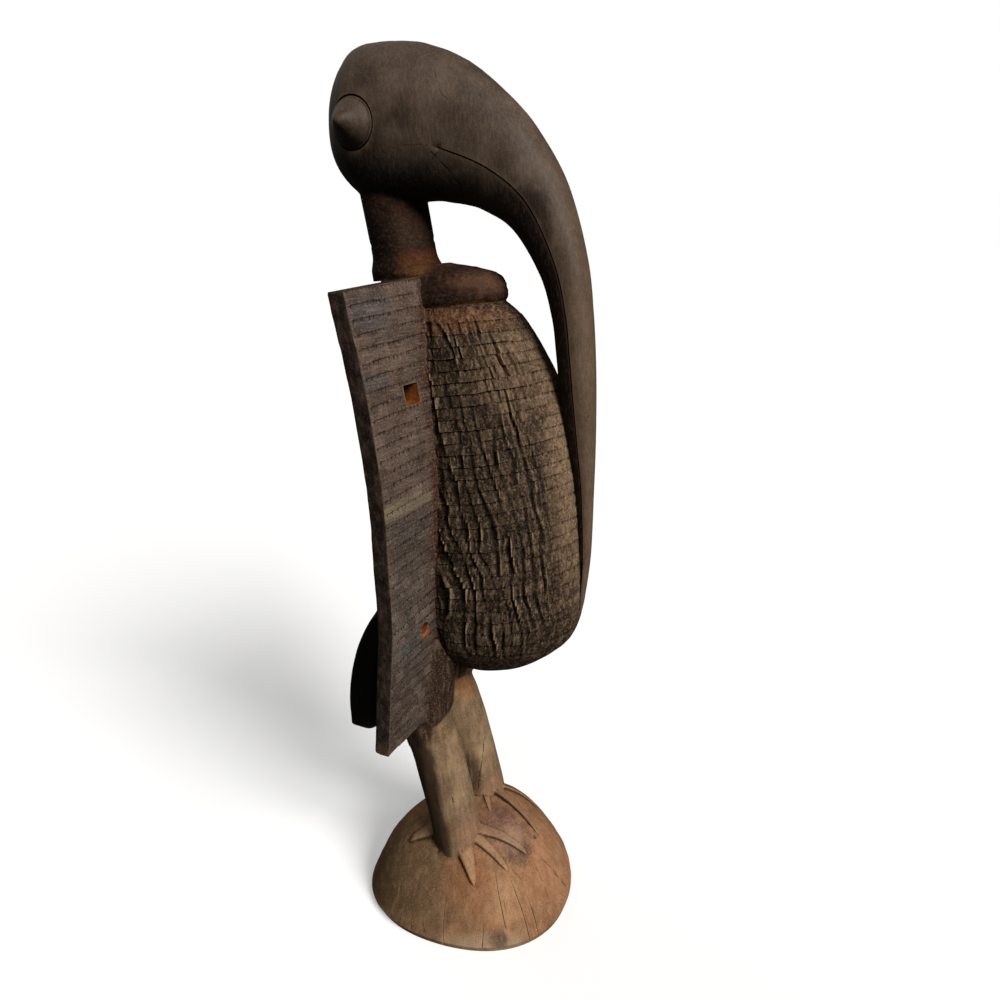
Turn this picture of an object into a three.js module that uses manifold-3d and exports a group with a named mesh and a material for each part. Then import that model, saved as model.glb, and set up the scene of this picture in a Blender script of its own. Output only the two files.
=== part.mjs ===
// A hornbill carved from one log, standing on the domed base left at its foot.
// The bird faces -Y, its left side is +X and the flat underside of the base is z = 0.

import * as THREE from 'three';
import { mergeVertices } from 'three/addons/utils/BufferGeometryUtils.js';
import Module from 'manifold-3d';

// Base, in millimetres
const BASE_LENGTH = 380;
const BASE_WIDTH = 352;
const BASE_HEIGHT = 168;
const BASE_EDGE_HEIGHT = 14;
const BASE_EDGE_TUCK = 5;

// Bird, in millimetres: what is carved freely is a share of the whole figure's height
const FIGURE_HEIGHT = 1410;
const WING_SPAN = 410;
const WING_THICKNESS = 28;
const TAIL_WIDTH = 112;
const TAIL_THICKNESS = 56;
const LEG_DIAMETER = 85;
const LEG_SPACING = 120;
const NECK_DIAMETER = 94;
const EYE_DIAMETER = 68;
const EYE_HEIGHT = 33;

// Tooling left by the carver, in millimetres
const ROW_PITCH = 18;
const ROW_DEPTH = 1.6;
const MOUTH_DEPTH = 3.5;
const EYE_LINE_DEPTH = 2.5;
const EYE_LINE_WIDTH = 3.5;

// Cord holes through each wing, in millimetres
const SQUARE_HOLE = 28;
const ROUND_HOLE = 19;

// Toes, in millimetres: each runs over the dome and narrows to a point, by this share at its end
const TOE_WIDTH = 17;
const TOE_RISE = 8;
const CLAW_END = 0.03;

// Unevenness of the base, as shares of its radius, and its middle under the bird
const DOME_POWER = 3;
const BASE_SKEW = 0.035;
const BASE_LOBE = 0.05;
const BASE_MIDDLE = { x: -3, y: -9 };

// How finely each rounded form is faceted
const DOME_SIDES = 36;
const DOME_RINGS = 9;
const BODY_SIDES = 24;
const BEAK_SIDES = 16;
const BEAK_RINGS = 32;
const LIMB_SIDES = 14;
const TOE_SIDES = 6;
const TOE_RINGS = 5;
const EYE_SIDES = 16;
const HOLE_SIDES = 12;

// A plain back keeps one level in every few rows, from this far behind the middle of a ring
const PLAIN_STEP = 8;
const PLAIN_FROM = 0.4;

// How square the rounded sections are: 2 is an ellipse, more is squarer
const BODY_POWER = 2.2;
const BEAK_POWER = 2.3;

// The free carving is written in thousandths of the figure's height, measured up from the
// floor and forward from the middle of the base.
const SHARE = FIGURE_HEIGHT / 1000;

// Trunk and belly, from the underside of the belly up to the groove below the collar
const TORSO = [
  { z: 344, front: 62, back: 42, half: 14, widest: 52 },
  { z: 347, front: 83, back: 21, half: 28, widest: 52 },
  { z: 356, front: 110, back: 4, half: 44, widest: 53 },
  { z: 369, front: 133, back: -13, half: 55, widest: 55 },
  { z: 387, front: 154, back: -32, half: 66, widest: 57 },
  { z: 411, front: 167, back: -51, half: 72, widest: 60 },
  { z: 434, front: 172, back: -60, half: 75, widest: 64 },
  { z: 468, front: 174, back: -62, half: 77, widest: 68 },
  { z: 511, front: 174, back: -62, half: 77, widest: 70 },
  { z: 553, front: 173, back: -61, half: 75, widest: 70 },
  { z: 595, front: 170, back: -59, half: 73, widest: 68 },
  { z: 638, front: 164, back: -55, half: 70, widest: 62 },
  { z: 680, front: 153, back: -49, half: 64, widest: 55 },
  { z: 709, front: 139, back: -44, half: 59, widest: 48 },
  { z: 731, front: 126, back: -39, half: 54, widest: 42 },
  { z: 748, front: 112, back: -34, half: 49, widest: 38 },
  { z: 767, front: 88, back: -27, half: 40, widest: 35 },
];

// How far each scored row of the belly climbs from the back to the front
const CLIMB = [
  { z: 344, climb: 0 },
  { z: 360, climb: 5 },
  { z: 420, climb: 22 },
  { z: 480, climb: 30 },
  { z: 580, climb: 30 },
  { z: 680, climb: 15 },
  { z: 748, climb: 0 },
];

// Rounded collar on the shoulders, sloping up to the neck
const COLLAR = [
  { z: 753, front: 81, back: -29, half: 37, widest: 31 },
  { z: 759, front: 102, back: -35, half: 48, widest: 33 },
  { z: 767, front: 105, back: -36, half: 49, widest: 33 },
  { z: 778, front: 99, back: -34, half: 47, widest: 29 },
  { z: 787, front: 83, back: -31, half: 42, widest: 22 },
  { z: 793, front: 60, back: -29, half: 38, widest: 11 },
  { z: 798, front: 37, back: -27, half: 31, widest: 2 },
];

// Head and beak: middle line, depth across it in the plane of symmetry, and half width
const BEAK = [
  { forward: -68, z: 934, depth: 18, half: 15 },
  { forward: -63, z: 933, depth: 35, half: 29 },
  { forward: -54, z: 932, depth: 49, half: 41 },
  { forward: -41, z: 931, depth: 62, half: 50 },
  { forward: -24, z: 930, depth: 71, half: 56 },
  { forward: 10, z: 928, depth: 71, half: 56 },
  { forward: 41, z: 921, depth: 67, half: 51 },
  { forward: 74, z: 906, depth: 58, half: 44 },
  { forward: 112, z: 880, depth: 45, half: 36 },
  { forward: 144, z: 843, depth: 33, half: 27 },
  { forward: 166, z: 790, depth: 24, half: 22 },
  { forward: 174, z: 744, depth: 20, half: 20 },
  { forward: 176, z: 706, depth: 19, half: 19 },
  { forward: 177, z: 668, depth: 18, half: 17 },
  { forward: 179, z: 613, depth: 14, half: 14 },
  { forward: 180, z: 564, depth: 10, half: 10 },
  { forward: 178, z: 495, depth: 7, half: 7 },
  { forward: 173, z: 445, depth: 4, half: 5 },
  { forward: 171, z: 427, depth: 2, half: 2 },
];

// The stations of the head alone, which run forward without turning down
const HEAD = BEAK.filter((p) => p.forward < 50);

// Front face of a wing: forward place at its outer edge and at the crease beside the belly,
// and how far a row climbs from the outer edge to the root
const WING = [
  { z: 292, outer: 0, crease: 3, inner: 62, climb: 0 },
  { z: 376, outer: 13, crease: 22, inner: 67, climb: 12 },
  { z: 440, outer: 24, crease: 33, inner: 68, climb: 16 },
  { z: 525, outer: 30, crease: 44, inner: 69, climb: 17 },
  { z: 574, outer: 33, crease: 49, inner: 69, climb: 16 },
  { z: 674, outer: 30, crease: 44, inner: 62, climb: 10 },
  { z: 780, outer: 18, crease: 33, inner: 46, climb: 8.5 },
];

// Outer face of the tail, from the rump down to its square end
const TAIL = [
  { z: 469, forward: -48 },
  { z: 406, forward: -80 },
  { z: 381, forward: -99 },
  { z: 346, forward: -119 },
  { z: 316, forward: -131 },
  { z: 268, forward: -143 },
  { z: 231, forward: -146 },
];

// Thigh and leg: middle line, how far the thigh swells beyond the leg's own radius, and how
// much farther back the left one stands
const LEG = [
  { z: 43, forward: 12, swell: 0, leftBack: 4 },
  { z: 99, forward: 10, swell: 0, leftBack: 6 },
  { z: 149, forward: 5, swell: 0, leftBack: 8 },
  { z: 191, forward: -1, swell: 0, leftBack: 9 },
  { z: 234, forward: -8, swell: 0, leftBack: 12 },
  { z: 264, forward: -18, swell: 1, leftBack: 11 },
  { z: 275, forward: -22, swell: 3, leftBack: 15 },
  { z: 291, forward: -24, swell: 9, leftBack: 19 },
  { z: 319, forward: -24, swell: 13, leftBack: 17 },
  { z: 355, forward: -20, swell: 17, leftBack: 9 },
  { z: 387, forward: -12, swell: 14, leftBack: 2 },
  { z: 413, forward: -2, swell: 0, leftBack: 0 },
  { z: 434, forward: 10, swell: -19, leftBack: 0 },
];

const NECK = { low: 785, high: 890, lowForward: -6, highForward: -18 };
const EYE = { forward: -15, z: 928, sunk: 3, turn: THREE.MathUtils.degToRad(2) };
// Outline of the eye boss, as shares of its radius and of its height
const EYE_PROFILE = [
  [0.72, 0.3],
  [0.4, 0.72],
  [0.14, 0.97],
  [0, 1],
];

const SQUARE_HOLE_PLACE = { z: 680, out: 88 };
const ROUND_HOLE_PLACE = { z: 427, out: 91 };
const MOUTH_START = 7;
const FIRST_ROW = 359;
const LAST_ROW = 747;
const ROW_SLOPE = 0.85;
const WING_ROOT = 22;

// Toes of each foot: bearing from straight ahead, positive outward, and reach from the leg
const TOES = [
  { side: -1, bearing: 42, reach: 81 },
  { side: -1, bearing: 8, reach: 108 },
  { side: -1, bearing: -13, reach: 128 },
  { side: -1, bearing: 158, reach: 87 },
  { side: 1, bearing: 21, reach: 106 },
  { side: 1, bearing: -16, reach: 138 },
  { side: 1, bearing: -52, reach: 84 },
  { side: 1, bearing: 158, reach: 87 },
];

const wasm = await Module();
wasm.setup();

// A closed geometry made into a solid that can be joined and cut. Triangles that have shrunk
// to a line, where a plain side has fewer corners than a worked one, are dropped.
function solidFrom(geometry) {
  const bare = geometry.clone();
  bare.deleteAttribute('normal');
  bare.deleteAttribute('uv');
  const merged = mergeVertices(bare);
  const corners = merged.getIndex().array;
  const kept = [];
  for (let i = 0; i < corners.length; i += 3) {
    const [a, b, c] = corners.slice(i, i + 3);
    if (a !== b && b !== c && c !== a) kept.push(a, b, c);
  }
  const mesh = new wasm.Mesh({
    numProp: 3,
    vertProperties: new Float32Array(merged.getAttribute('position').array),
    triVerts: new Uint32Array(kept),
  });
  return new wasm.Manifold(mesh);
}

// The triangles of a joined solid, ready for a mesh
function geometryFrom(solid) {
  const mesh = solid.getMesh();
  const geometry = new THREE.BufferGeometry();
  geometry.setAttribute('position', new THREE.BufferAttribute(mesh.vertProperties, 3));
  geometry.setIndex(new THREE.BufferAttribute(mesh.triVerts, 1));
  geometry.computeVertexNormals();
  return geometry;
}

// Smooth value of one column of a table of stations at a given place along another column
function follow(stations, along, column, place) {
  const last = stations.length - 1;
  let i = 0;
  while (i < last - 1 && place > stations[i + 1][along]) i += 1;
  const from = stations[i];
  const to = stations[i + 1];
  const step = to[along] - from[along];
  const t = THREE.MathUtils.clamp((place - from[along]) / step, 0, 1);
  const slope = (a, b) => (b[column] - a[column]) / (b[along] - a[along]);
  const middle = slope(from, to);
  const before = i > 0 ? (slope(stations[i - 1], from) + middle) / 2 : middle;
  const after = i + 2 <= last ? (middle + slope(to, stations[i + 2])) / 2 : middle;
  const t2 = t * t;
  const t3 = t2 * t;
  return (
    (2 * t3 - 3 * t2 + 1) * from[column] +
    (t3 - 2 * t2 + t) * step * before +
    (3 * t2 - 2 * t3) * to[column] +
    (t3 - t2) * step * after
  );
}

// A cylinder's rings moved to where place(ring, lateral, backward) says, from the top ring down.
// lateral and backward are the cosine and sine around the ring, or both 0 at a cap's middle.
function rings(sides, count, place) {
  const geometry = new THREE.CylinderGeometry(1, 1, 1, sides, count - 1);
  const position = geometry.getAttribute('position');
  for (let i = 0; i < position.count; i += 1) {
    const ring = Math.round((position.getY(i) + 0.5) * (count - 1));
    const point = place(ring, position.getZ(i), position.getX(i));
    position.setXYZ(i, point.x, point.y, point.z);
  }
  return solidFrom(geometry);
}

// A round section squared off a little
function squared(value, power) {
  return Math.sign(value) * Math.abs(value) ** (2 / power);
}

// How far the edge of the base swells or draws in at one angle, as a share of its radius
function baseLobe(angle) {
  return 1 - BASE_SKEW * Math.sin(2 * angle) + BASE_LOBE * Math.cos(3 * angle);
}

// Height of the dome over a point of the plan
function domeHeight(x, y) {
  const across = (x - BASE_MIDDLE.x) / (BASE_WIDTH / 2);
  const along = (y - BASE_MIDDLE.y) / (BASE_LENGTH / 2);
  const reach = Math.hypot(across, along) / baseLobe(Math.atan2(along, across));
  const rise = Math.max(0, 1 - reach ** DOME_POWER);
  return BASE_EDGE_HEIGHT + (BASE_HEIGHT - BASE_EDGE_HEIGHT) * rise;
}

// The base is a low dome left uneven in plan, with its edge tucked under all round
function buildDome() {
  return rings(DOME_SIDES, DOME_RINGS + 1, (ring, lateral, backward) => {
    const turn = ((ring - 1) / (DOME_RINGS - 1)) * (Math.PI / 2);
    const reach = ring === 0 ? 1 - (2 * BASE_EDGE_TUCK) / BASE_WIDTH : Math.cos(turn);
    const lobe = baseLobe(Math.atan2(backward, lateral)) * reach;
    const x = BASE_MIDDLE.x + (lateral * BASE_WIDTH * lobe) / 2;
    const y = BASE_MIDDLE.y + (backward * BASE_LENGTH * lobe) / 2;
    return new THREE.Vector3(x, y, ring === 0 ? 0 : domeHeight(x, y));
  });
}

// One level outline of the body: rounder behind, fuller in front
function bodyPoint(stations, z, lateral, backward, inset) {
  const front = follow(stations, 'z', 'front', z);
  const back = follow(stations, 'z', 'back', z);
  const half = follow(stations, 'z', 'half', z);
  const widest = follow(stations, 'z', 'widest', z);
  const reach = backward < 0 ? front - widest : widest - back;
  const x = squared(lateral, BODY_POWER) * (half * SHARE - inset);
  const forward = widest * SHARE - squared(backward, BODY_POWER) * (reach * SHARE - inset);
  return new THREE.Vector3(x, -forward, z * SHARE);
}

// Corner levels of the scored rows between two heights, as [height, inset]. Rows overlap like
// weatherboard, and all of them are counted up from the low end of the wings.
function rowLevels(low, high) {
  const start = WING[0].z;
  const height = WING[WING.length - 1].z - start;
  const pitch = height / Math.round((height * SHARE) / ROW_PITCH);
  const levels = [];
  const first = Math.ceil((low - start) / pitch - 0.01);
  const last = Math.floor((high - start) / pitch + 0.01);
  for (let i = first; i < last; i += 1) {
    levels.push([start + i * pitch, 0]);
    levels.push([start + (i + ROW_SLOPE) * pitch, ROW_DEPTH]);
  }
  levels.push([start + last * pitch, 0]);
  return levels;
}

// The level that a plain back uses instead: one in every few rows, and without the inset
function plainLevel(levels, index, first, last) {
  if (index <= first || index >= last) return levels[index];
  const snapped = first + Math.round((index - first) / PLAIN_STEP) * PLAIN_STEP;
  return [levels[Math.min(snapped, last)][0], 0];
}

// Belly and trunk, scored in front and on the sides in rows that climb forward, plain behind
function buildTorso() {
  const rows = rowLevels(FIRST_ROW, LAST_ROW);
  const below = TORSO.filter((p) => p.z < rows[0][0] - 2).map((p) => [p.z, 0]);
  const above = TORSO.filter((p) => p.z > rows[rows.length - 1][0] + 2).map((p) => [p.z, 0]);
  const levels = [...below, ...rows, ...above];
  const first = below.length;
  const last = below.length + rows.length - 1;
  return rings(BODY_SIDES, levels.length, (ring, lateral, backward) => {
    const level = backward > PLAIN_FROM ? plainLevel(levels, ring, first, last) : levels[ring];
    const climb = (follow(CLIMB, 'z', 'climb', level[0]) * (1 - backward)) / 2;
    return bodyPoint(TORSO, level[0] + climb, lateral, backward, level[1]);
  });
}

function buildCollar() {
  return rings(BODY_SIDES, COLLAR.length, (ring, lateral, backward) =>
    bodyPoint(COLLAR, COLLAR[ring].z, lateral, backward, 0));
}

function buildNeck() {
  const radius = NECK_DIAMETER / 2;
  return rings(LIMB_SIDES, 2, (ring, lateral, backward) => {
    const forward = ring === 0 ? NECK.lowForward : NECK.highForward;
    const z = ring === 0 ? NECK.low : NECK.high;
    return new THREE.Vector3(
      lateral * radius,
      backward * radius - forward * SHARE,
      z * SHARE,
    );
  });
}

// Head and beak in one sweep, from the back of the head to the tip lying on the belly
function buildBeak() {
  const line = new THREE.CatmullRomCurve3(
    BEAK.map((p) => new THREE.Vector3(0, -p.forward * SHARE, p.z * SHARE)),
    false,
    'catmullrom',
  );
  const sizes = new THREE.CatmullRomCurve3(
    BEAK.map((p) => new THREE.Vector3(p.half * SHARE, p.depth * SHARE, 0)),
    false,
    'catmullrom',
  );
  const aside = new THREE.Vector3(1, 0, 0);
  const mouth = MOUTH_START / (BEAK.length - 1);
  return rings(BEAK_SIDES, BEAK_RINGS, (ring, lateral, backward) => {
    const t = 1 - ring / (BEAK_RINGS - 1);
    const size = sizes.getPoint(t);
    const outward = new THREE.Vector3().crossVectors(aside, line.getTangent(t));
    const atSide = Math.abs(backward) < 0.5 * Math.sin((2 * Math.PI) / BEAK_SIDES);
    const inset = t > mouth && atSide ? MOUTH_DEPTH : 0;
    return line
      .getPoint(t)
      .addScaledVector(aside, squared(lateral, BEAK_POWER) * size.x - Math.sign(lateral) * inset)
      .addScaledVector(outward, squared(backward, BEAK_POWER) * size.y);
  });
}

// A low pointed boss in a sunk ring, turned a little backward on the side of the head
function buildEye(side) {
  const radius = EYE_DIAMETER / 2;
  const rim = radius - EYE_LINE_WIDTH;
  const profile = [
    [0, -radius],
    [rim, -radius],
    [rim, 0],
    ...EYE_PROFILE.map(([out, along]) => [rim * out, EYE_HEIGHT * along]),
  ];
  return placeEye(profile, side);
}

// Tool that cuts the ring around the eye
function buildEyeLine(side) {
  const radius = EYE_DIAMETER / 2;
  const rim = radius - EYE_LINE_WIDTH;
  const profile = [
    [rim, -EYE_LINE_DEPTH],
    [radius, -EYE_LINE_DEPTH],
    [radius, radius],
    [rim, radius],
    [rim, -EYE_LINE_DEPTH],
  ];
  return placeEye(profile, side);
}

function placeEye(profile, side) {
  const shape = new THREE.LatheGeometry(
    profile.map(([out, along]) => new THREE.Vector2(out, along)),
    EYE_SIDES,
  );
  const outward = new THREE.Vector3(side * Math.cos(EYE.turn), Math.sin(EYE.turn), 0);
  const turn = new THREE.Quaternion().setFromUnitVectors(new THREE.Vector3(0, 1, 0), outward);
  shape.applyQuaternion(turn);
  const half = follow(HEAD, 'forward', 'half', EYE.forward) - EYE.sunk;
  shape.translate(side * half * SHARE, -EYE.forward * SHARE, EYE.z * SHARE);
  return solidFrom(shape);
}

// Forward place of a wing's front face at one height and distance from the middle
function wingForward(z, out) {
  const tip = WING_SPAN / 2 / SHARE;
  const inner = follow(WING, 'z', 'inner', z);
  const t = (tip - out) / (tip - inner);
  const outer = follow(WING, 'z', 'outer', z);
  return outer + (follow(WING, 'z', 'crease', z) - outer) * t;
}

// A wing is a bowed board standing out from the trunk, scored in rows on its front face. The
// rows and its top edge climb toward the trunk.
function buildWing(side) {
  const levels = rowLevels(WING[0].z, WING[WING.length - 1].z);
  const steps = levels.length - 1;
  const tip = WING_SPAN / 2 / SHARE;
  const board = new THREE.BoxGeometry(1, 1, 1, 1, 1, steps);
  const position = board.getAttribute('position');
  for (let i = 0; i < position.count; i += 1) {
    const step = Math.round((position.getZ(i) + 0.5) * steps);
    const inFront = position.getY(i) < 0;
    const [z, inset] = inFront ? levels[step] : plainLevel(levels, step, 0, steps);
    const out = position.getX(i) * side > 0 ? tip : WING_ROOT;
    const y = -wingForward(z, out) * SHARE + (inFront ? inset : WING_THICKNESS);
    const climb = (follow(WING, 'z', 'climb', z) * (tip - out)) / (tip - WING_ROOT);
    position.setXYZ(i, side * out * SHARE, y, (z + climb) * SHARE);
  }
  return solidFrom(board);
}

// Square and round holes for cords, right through one wing
function buildHoles(side) {
  const through = 3 * WING_THICKNESS;
  const square = new THREE.BoxGeometry(SQUARE_HOLE, through, SQUARE_HOLE);
  const round = new THREE.CylinderGeometry(ROUND_HOLE / 2, ROUND_HOLE / 2, through, HOLE_SIDES);
  const place = (tool, at) => {
    const forward = wingForward(at.z, at.out) * SHARE - WING_THICKNESS / 2;
    tool.translate(side * at.out * SHARE, -forward, at.z * SHARE);
    return solidFrom(tool);
  };
  return place(square, SQUARE_HOLE_PLACE).add(place(round, ROUND_HOLE_PLACE));
}

// The tail is a thick curved board with a square end
function buildTail() {
  const board = new THREE.BoxGeometry(1, 1, 1, 1, 1, TAIL.length - 1);
  const position = board.getAttribute('position');
  for (let i = 0; i < position.count; i += 1) {
    const step = Math.round((0.5 - position.getZ(i)) * (TAIL.length - 1));
    const here = TAIL[step];
    const above = TAIL[Math.max(step - 1, 0)];
    const below = TAIL[Math.min(step + 1, TAIL.length - 1)];
    const along = new THREE.Vector2(below.forward - above.forward, below.z - above.z).normalize();
    const inward = position.getY(i) < 0 ? TAIL_THICKNESS : 0;
    const forward = here.forward * SHARE - along.y * inward;
    const z = here.z * SHARE + along.x * inward;
    position.setXYZ(i, position.getX(i) * TAIL_WIDTH, -forward, z);
  }
  return solidFrom(board);
}

function buildLeg(side) {
  return rings(LIMB_SIDES, LEG.length, (ring, lateral, backward) => {
    const z = LEG[ring].z;
    const radius = LEG_DIAMETER / 2 + LEG[ring].swell * SHARE;
    const forward = LEG[ring].forward - (side > 0 ? LEG[ring].leftBack : 0);
    return new THREE.Vector3(
      side * (LEG_SPACING / 2) + lateral * radius,
      backward * radius - forward * SHARE,
      z * SHARE,
    );
  });
}

// A toe follows the dome outward from the leg, half sunk in it, and narrows to a claw
function buildToe(toe) {
  const bearing = THREE.MathUtils.degToRad(toe.bearing);
  const ahead = new THREE.Vector3(toe.side * Math.sin(bearing), -Math.cos(bearing), 0);
  const across = new THREE.Vector3(-ahead.y, ahead.x, 0);
  const floor = BASE_HEIGHT / SHARE;
  const back = toe.side > 0 ? follow(LEG, 'z', 'leftBack', floor) : 0;
  const ankle = follow(LEG, 'z', 'forward', floor) - back;
  const start = new THREE.Vector3((toe.side * LEG_SPACING) / 2, -ankle * SHARE, 0);
  return rings(TOE_SIDES, TOE_RINGS, (ring, lateral, backward) => {
    const t = ring / (TOE_RINGS - 1);
    const narrow = Math.sqrt(1 - (1 - CLAW_END) * t * t);
    const middle = start.clone().addScaledVector(ahead, t * toe.reach);
    middle.z = domeHeight(middle.x, middle.y);
    return middle
      .addScaledVector(across, -backward * (TOE_WIDTH / 2) * narrow)
      .add(new THREE.Vector3(0, 0, lateral * TOE_RISE * narrow));
  });
}

function buildFigure() {
  const parts = [buildTorso(), buildCollar(), buildNeck(), buildBeak(), buildTail()];
  for (const side of [-1, 1]) {
    parts.push(buildWing(side).subtract(buildHoles(side)));
    parts.push(buildLeg(side));
  }
  TOES.forEach((toe) => parts.push(buildToe(toe)));
  let figure = buildDome();
  parts.forEach((part) => {
    figure = figure.add(part);
  });
  for (const side of [-1, 1]) {
    figure = figure.subtract(buildEyeLine(side)).add(buildEye(side));
  }
  return geometryFrom(figure);
}

const wood = new THREE.MeshStandardMaterial({
  name: 'weathered carved wood',
  color: 0x5a4a3a,
  roughness: 0.82,
  metalness: 0,
  flatShading: true,
});

const hornbill = new THREE.Mesh(buildFigure(), wood);
hornbill.name = 'hornbill_figure';

const group = new THREE.Group();
group.add(hornbill);

export default group;
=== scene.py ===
"""Hornbill carved from one log with its domed base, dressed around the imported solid.

Lengths are in metres. What is carved freely is in thousandths of the figure's height, measured
up from the floor and forward from the middle of the base. The bird faces -Y, its left is +X.
"""

import itertools
import logging
import math
from collections.abc import Callable, Sequence
from dataclasses import dataclass, field
from enum import Enum, IntEnum

import bmesh
import bpy
import numpy as np
from mathutils import Matrix, Vector


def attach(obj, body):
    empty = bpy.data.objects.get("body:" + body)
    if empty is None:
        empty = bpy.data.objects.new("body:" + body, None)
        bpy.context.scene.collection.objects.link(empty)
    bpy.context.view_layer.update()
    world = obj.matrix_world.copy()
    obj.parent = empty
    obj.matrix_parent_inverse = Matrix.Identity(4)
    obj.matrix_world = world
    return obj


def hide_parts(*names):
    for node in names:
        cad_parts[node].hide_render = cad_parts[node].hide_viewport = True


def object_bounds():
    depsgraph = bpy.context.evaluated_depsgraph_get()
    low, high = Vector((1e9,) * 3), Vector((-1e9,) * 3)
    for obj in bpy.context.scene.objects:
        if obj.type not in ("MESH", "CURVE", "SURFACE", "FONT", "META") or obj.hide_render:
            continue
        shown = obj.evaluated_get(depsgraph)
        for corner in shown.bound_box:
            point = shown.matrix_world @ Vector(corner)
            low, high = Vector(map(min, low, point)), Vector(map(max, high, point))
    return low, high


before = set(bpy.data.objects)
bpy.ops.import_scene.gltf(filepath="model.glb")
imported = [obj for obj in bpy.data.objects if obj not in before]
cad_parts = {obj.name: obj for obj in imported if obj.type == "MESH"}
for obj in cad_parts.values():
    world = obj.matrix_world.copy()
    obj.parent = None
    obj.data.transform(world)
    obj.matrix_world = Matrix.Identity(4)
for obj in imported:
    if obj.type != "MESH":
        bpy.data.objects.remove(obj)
CAD_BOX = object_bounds()

log = logging.getLogger("hornbill")

NODE = "hornbill_figure"
MM = 0.001
FIGURE_HEIGHT = 1.410
# One thousandth of the figure's height, the unit of the tables of stations
SHARE = FIGURE_HEIGHT / 1000
# Points nearer to each other than this become one
WELD = 0.00001
# How square the level sections of the body are, 2 for round
BODY_POWER = 2.2

Points = np.ndarray
Values = np.ndarray
Pair = tuple[float, float]
Triple = tuple[float, float, float]
Solid = bpy.types.Object
Tree = bpy.types.NodeTree
Socket = bpy.types.NodeSocket


class Zone(IntEnum):
    """Which finish a face of the carving takes, in the order of the material slots."""

    HEAD = 0
    NECK = 1
    BELLY = 2
    WING = 3
    EDGE = 4
    RAW = 5
    LEG = 6
    TAIL = 7
    BASE = 8


class Join(Enum):
    """How one solid is worked into another."""

    ADD = "UNION"
    CUT = "DIFFERENCE"


@dataclass
class Laid:
    """Points of a skin, with what its finish is told at each of them.

    Attributes:
        points: The points.
        row: Count of scored rows up to each point.
        along: Distance along the row, in metres.
        worked: How plainly the rows show, from 0 to 1.
        relief: How far the point stands above or below the smooth form, from -1 to 1, low where painted shade
            goes.
        shade: How far the finish's second tone takes over, from 0 to 1.
    """

    points: Points
    row: Values | float = 0.0
    along: Values | float = 0.0
    worked: Values | float = 0.0
    relief: Values | float = 0.0
    shade: Values | float = 0.0


Place = Callable[[Values, Values], Laid]
MARKS = ("row", "along", "worked", "relief", "shade")


def lattice(cells: Values, seed: int) -> Values:
    """Gives each whole-numbered cell its own repeatable value.

    Args:
        cells: Whole numbers, three to a row.
        seed: Picks one of many unlike patterns.

    Returns:
        One value from -1 to 1 for each row.
    """
    mixed = cells.astype(np.int64) @ np.array([73856093, 19349663, 83492791]) + seed * 40503
    mixed = (mixed ^ (mixed >> 13)) * 1274126177
    mixed = (mixed ^ (mixed >> 16)) * 668265263
    return ((mixed ^ (mixed >> 15)) & 0xFFFF) / 0x7FFF - 1.0


def blotches(points: Points, size: float | Sequence[float], seed: int) -> Values:
    """Smooth uneven values over space.

    Args:
        points: Places, three numbers to a row.
        size: Size of one blotch, the same in all directions or one for each axis.
        seed: Picks one of many unlike patterns.

    Returns:
        One value from -1 to 1 for each point.
    """
    scaled = points / np.asarray(size) + seed * 0.37
    low = np.floor(scaled)
    part = scaled - low
    part = part * part * (3 - 2 * part)
    total = np.zeros(len(points))
    for corner in itertools.product((0, 1), repeat=3):
        weight = np.prod(np.where(np.array(corner) == 1, part, 1 - part), axis=1)
        total += weight * lattice(low + corner, seed)
    return total


def fade(value: Values, start: float, end: float) -> Values:
    """Smooth step from 0 at start to 1 at end."""
    t = np.clip((value - start) / (end - start), 0, 1)
    return t * t * (3 - 2 * t)


def squared(value: Values, power: float) -> Values:
    """A round section squared off a little: 2 is an ellipse, more is squarer."""
    return np.sign(value) * np.abs(value) ** (2 / power)


def bump(value: Values, middle: float, width: float) -> Values:
    """Smooth bump of height 1 around a middle."""
    return np.exp(-(((value - middle) / width) ** 2))


@dataclass(frozen=True)
class Ripple:
    """Smooth ups and downs of one size.

    Attributes:
        height: How far they go up and down.
        size: Size of one, the same in all directions or one for each axis.
        seed: Picks one of many unlike patterns.
    """

    height: float
    size: float | Triple
    seed: int

    def at(self, points: Points) -> Values:
        """Height at each point."""
        return self.height * blotches(points, self.size, self.seed)


@dataclass(frozen=True)
class Stations:
    """A table of stations along a form, read smoothly between them.

    Attributes:
        names: What each column holds. The first is the place along the form, rising.
        rows: One row for each station.
    """

    names: tuple[str, ...]
    rows: tuple[tuple[float, ...], ...]

    def read(self, name: str, place: Values) -> Values:
        """Smooth value of one column.

        Args:
            name: The column.
            place: Places along the form.

        Returns:
            The value at each place, held at the ends.
        """
        table = np.array(self.rows, dtype=float)
        x = table[:, 0]
        y = table[:, self.names.index(name)]
        secant = np.diff(y) / np.diff(x)
        slope = np.concatenate([secant[:1], (secant[:-1] + secant[1:]) / 2, secant[-1:]])
        i = np.clip(np.searchsorted(x, place, side="left") - 1, 0, len(x) - 2)
        step = x[i + 1] - x[i]
        t = np.clip((place - x[i]) / step, 0, 1)
        return (
            (2 * t**3 - 3 * t**2 + 1) * y[i]
            + (t**3 - 2 * t**2 + t) * step * slope[i]
            + (3 * t**2 - 2 * t**3) * y[i + 1]
            + (t**3 - t**2) * step * slope[i + 1]
        )


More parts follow.
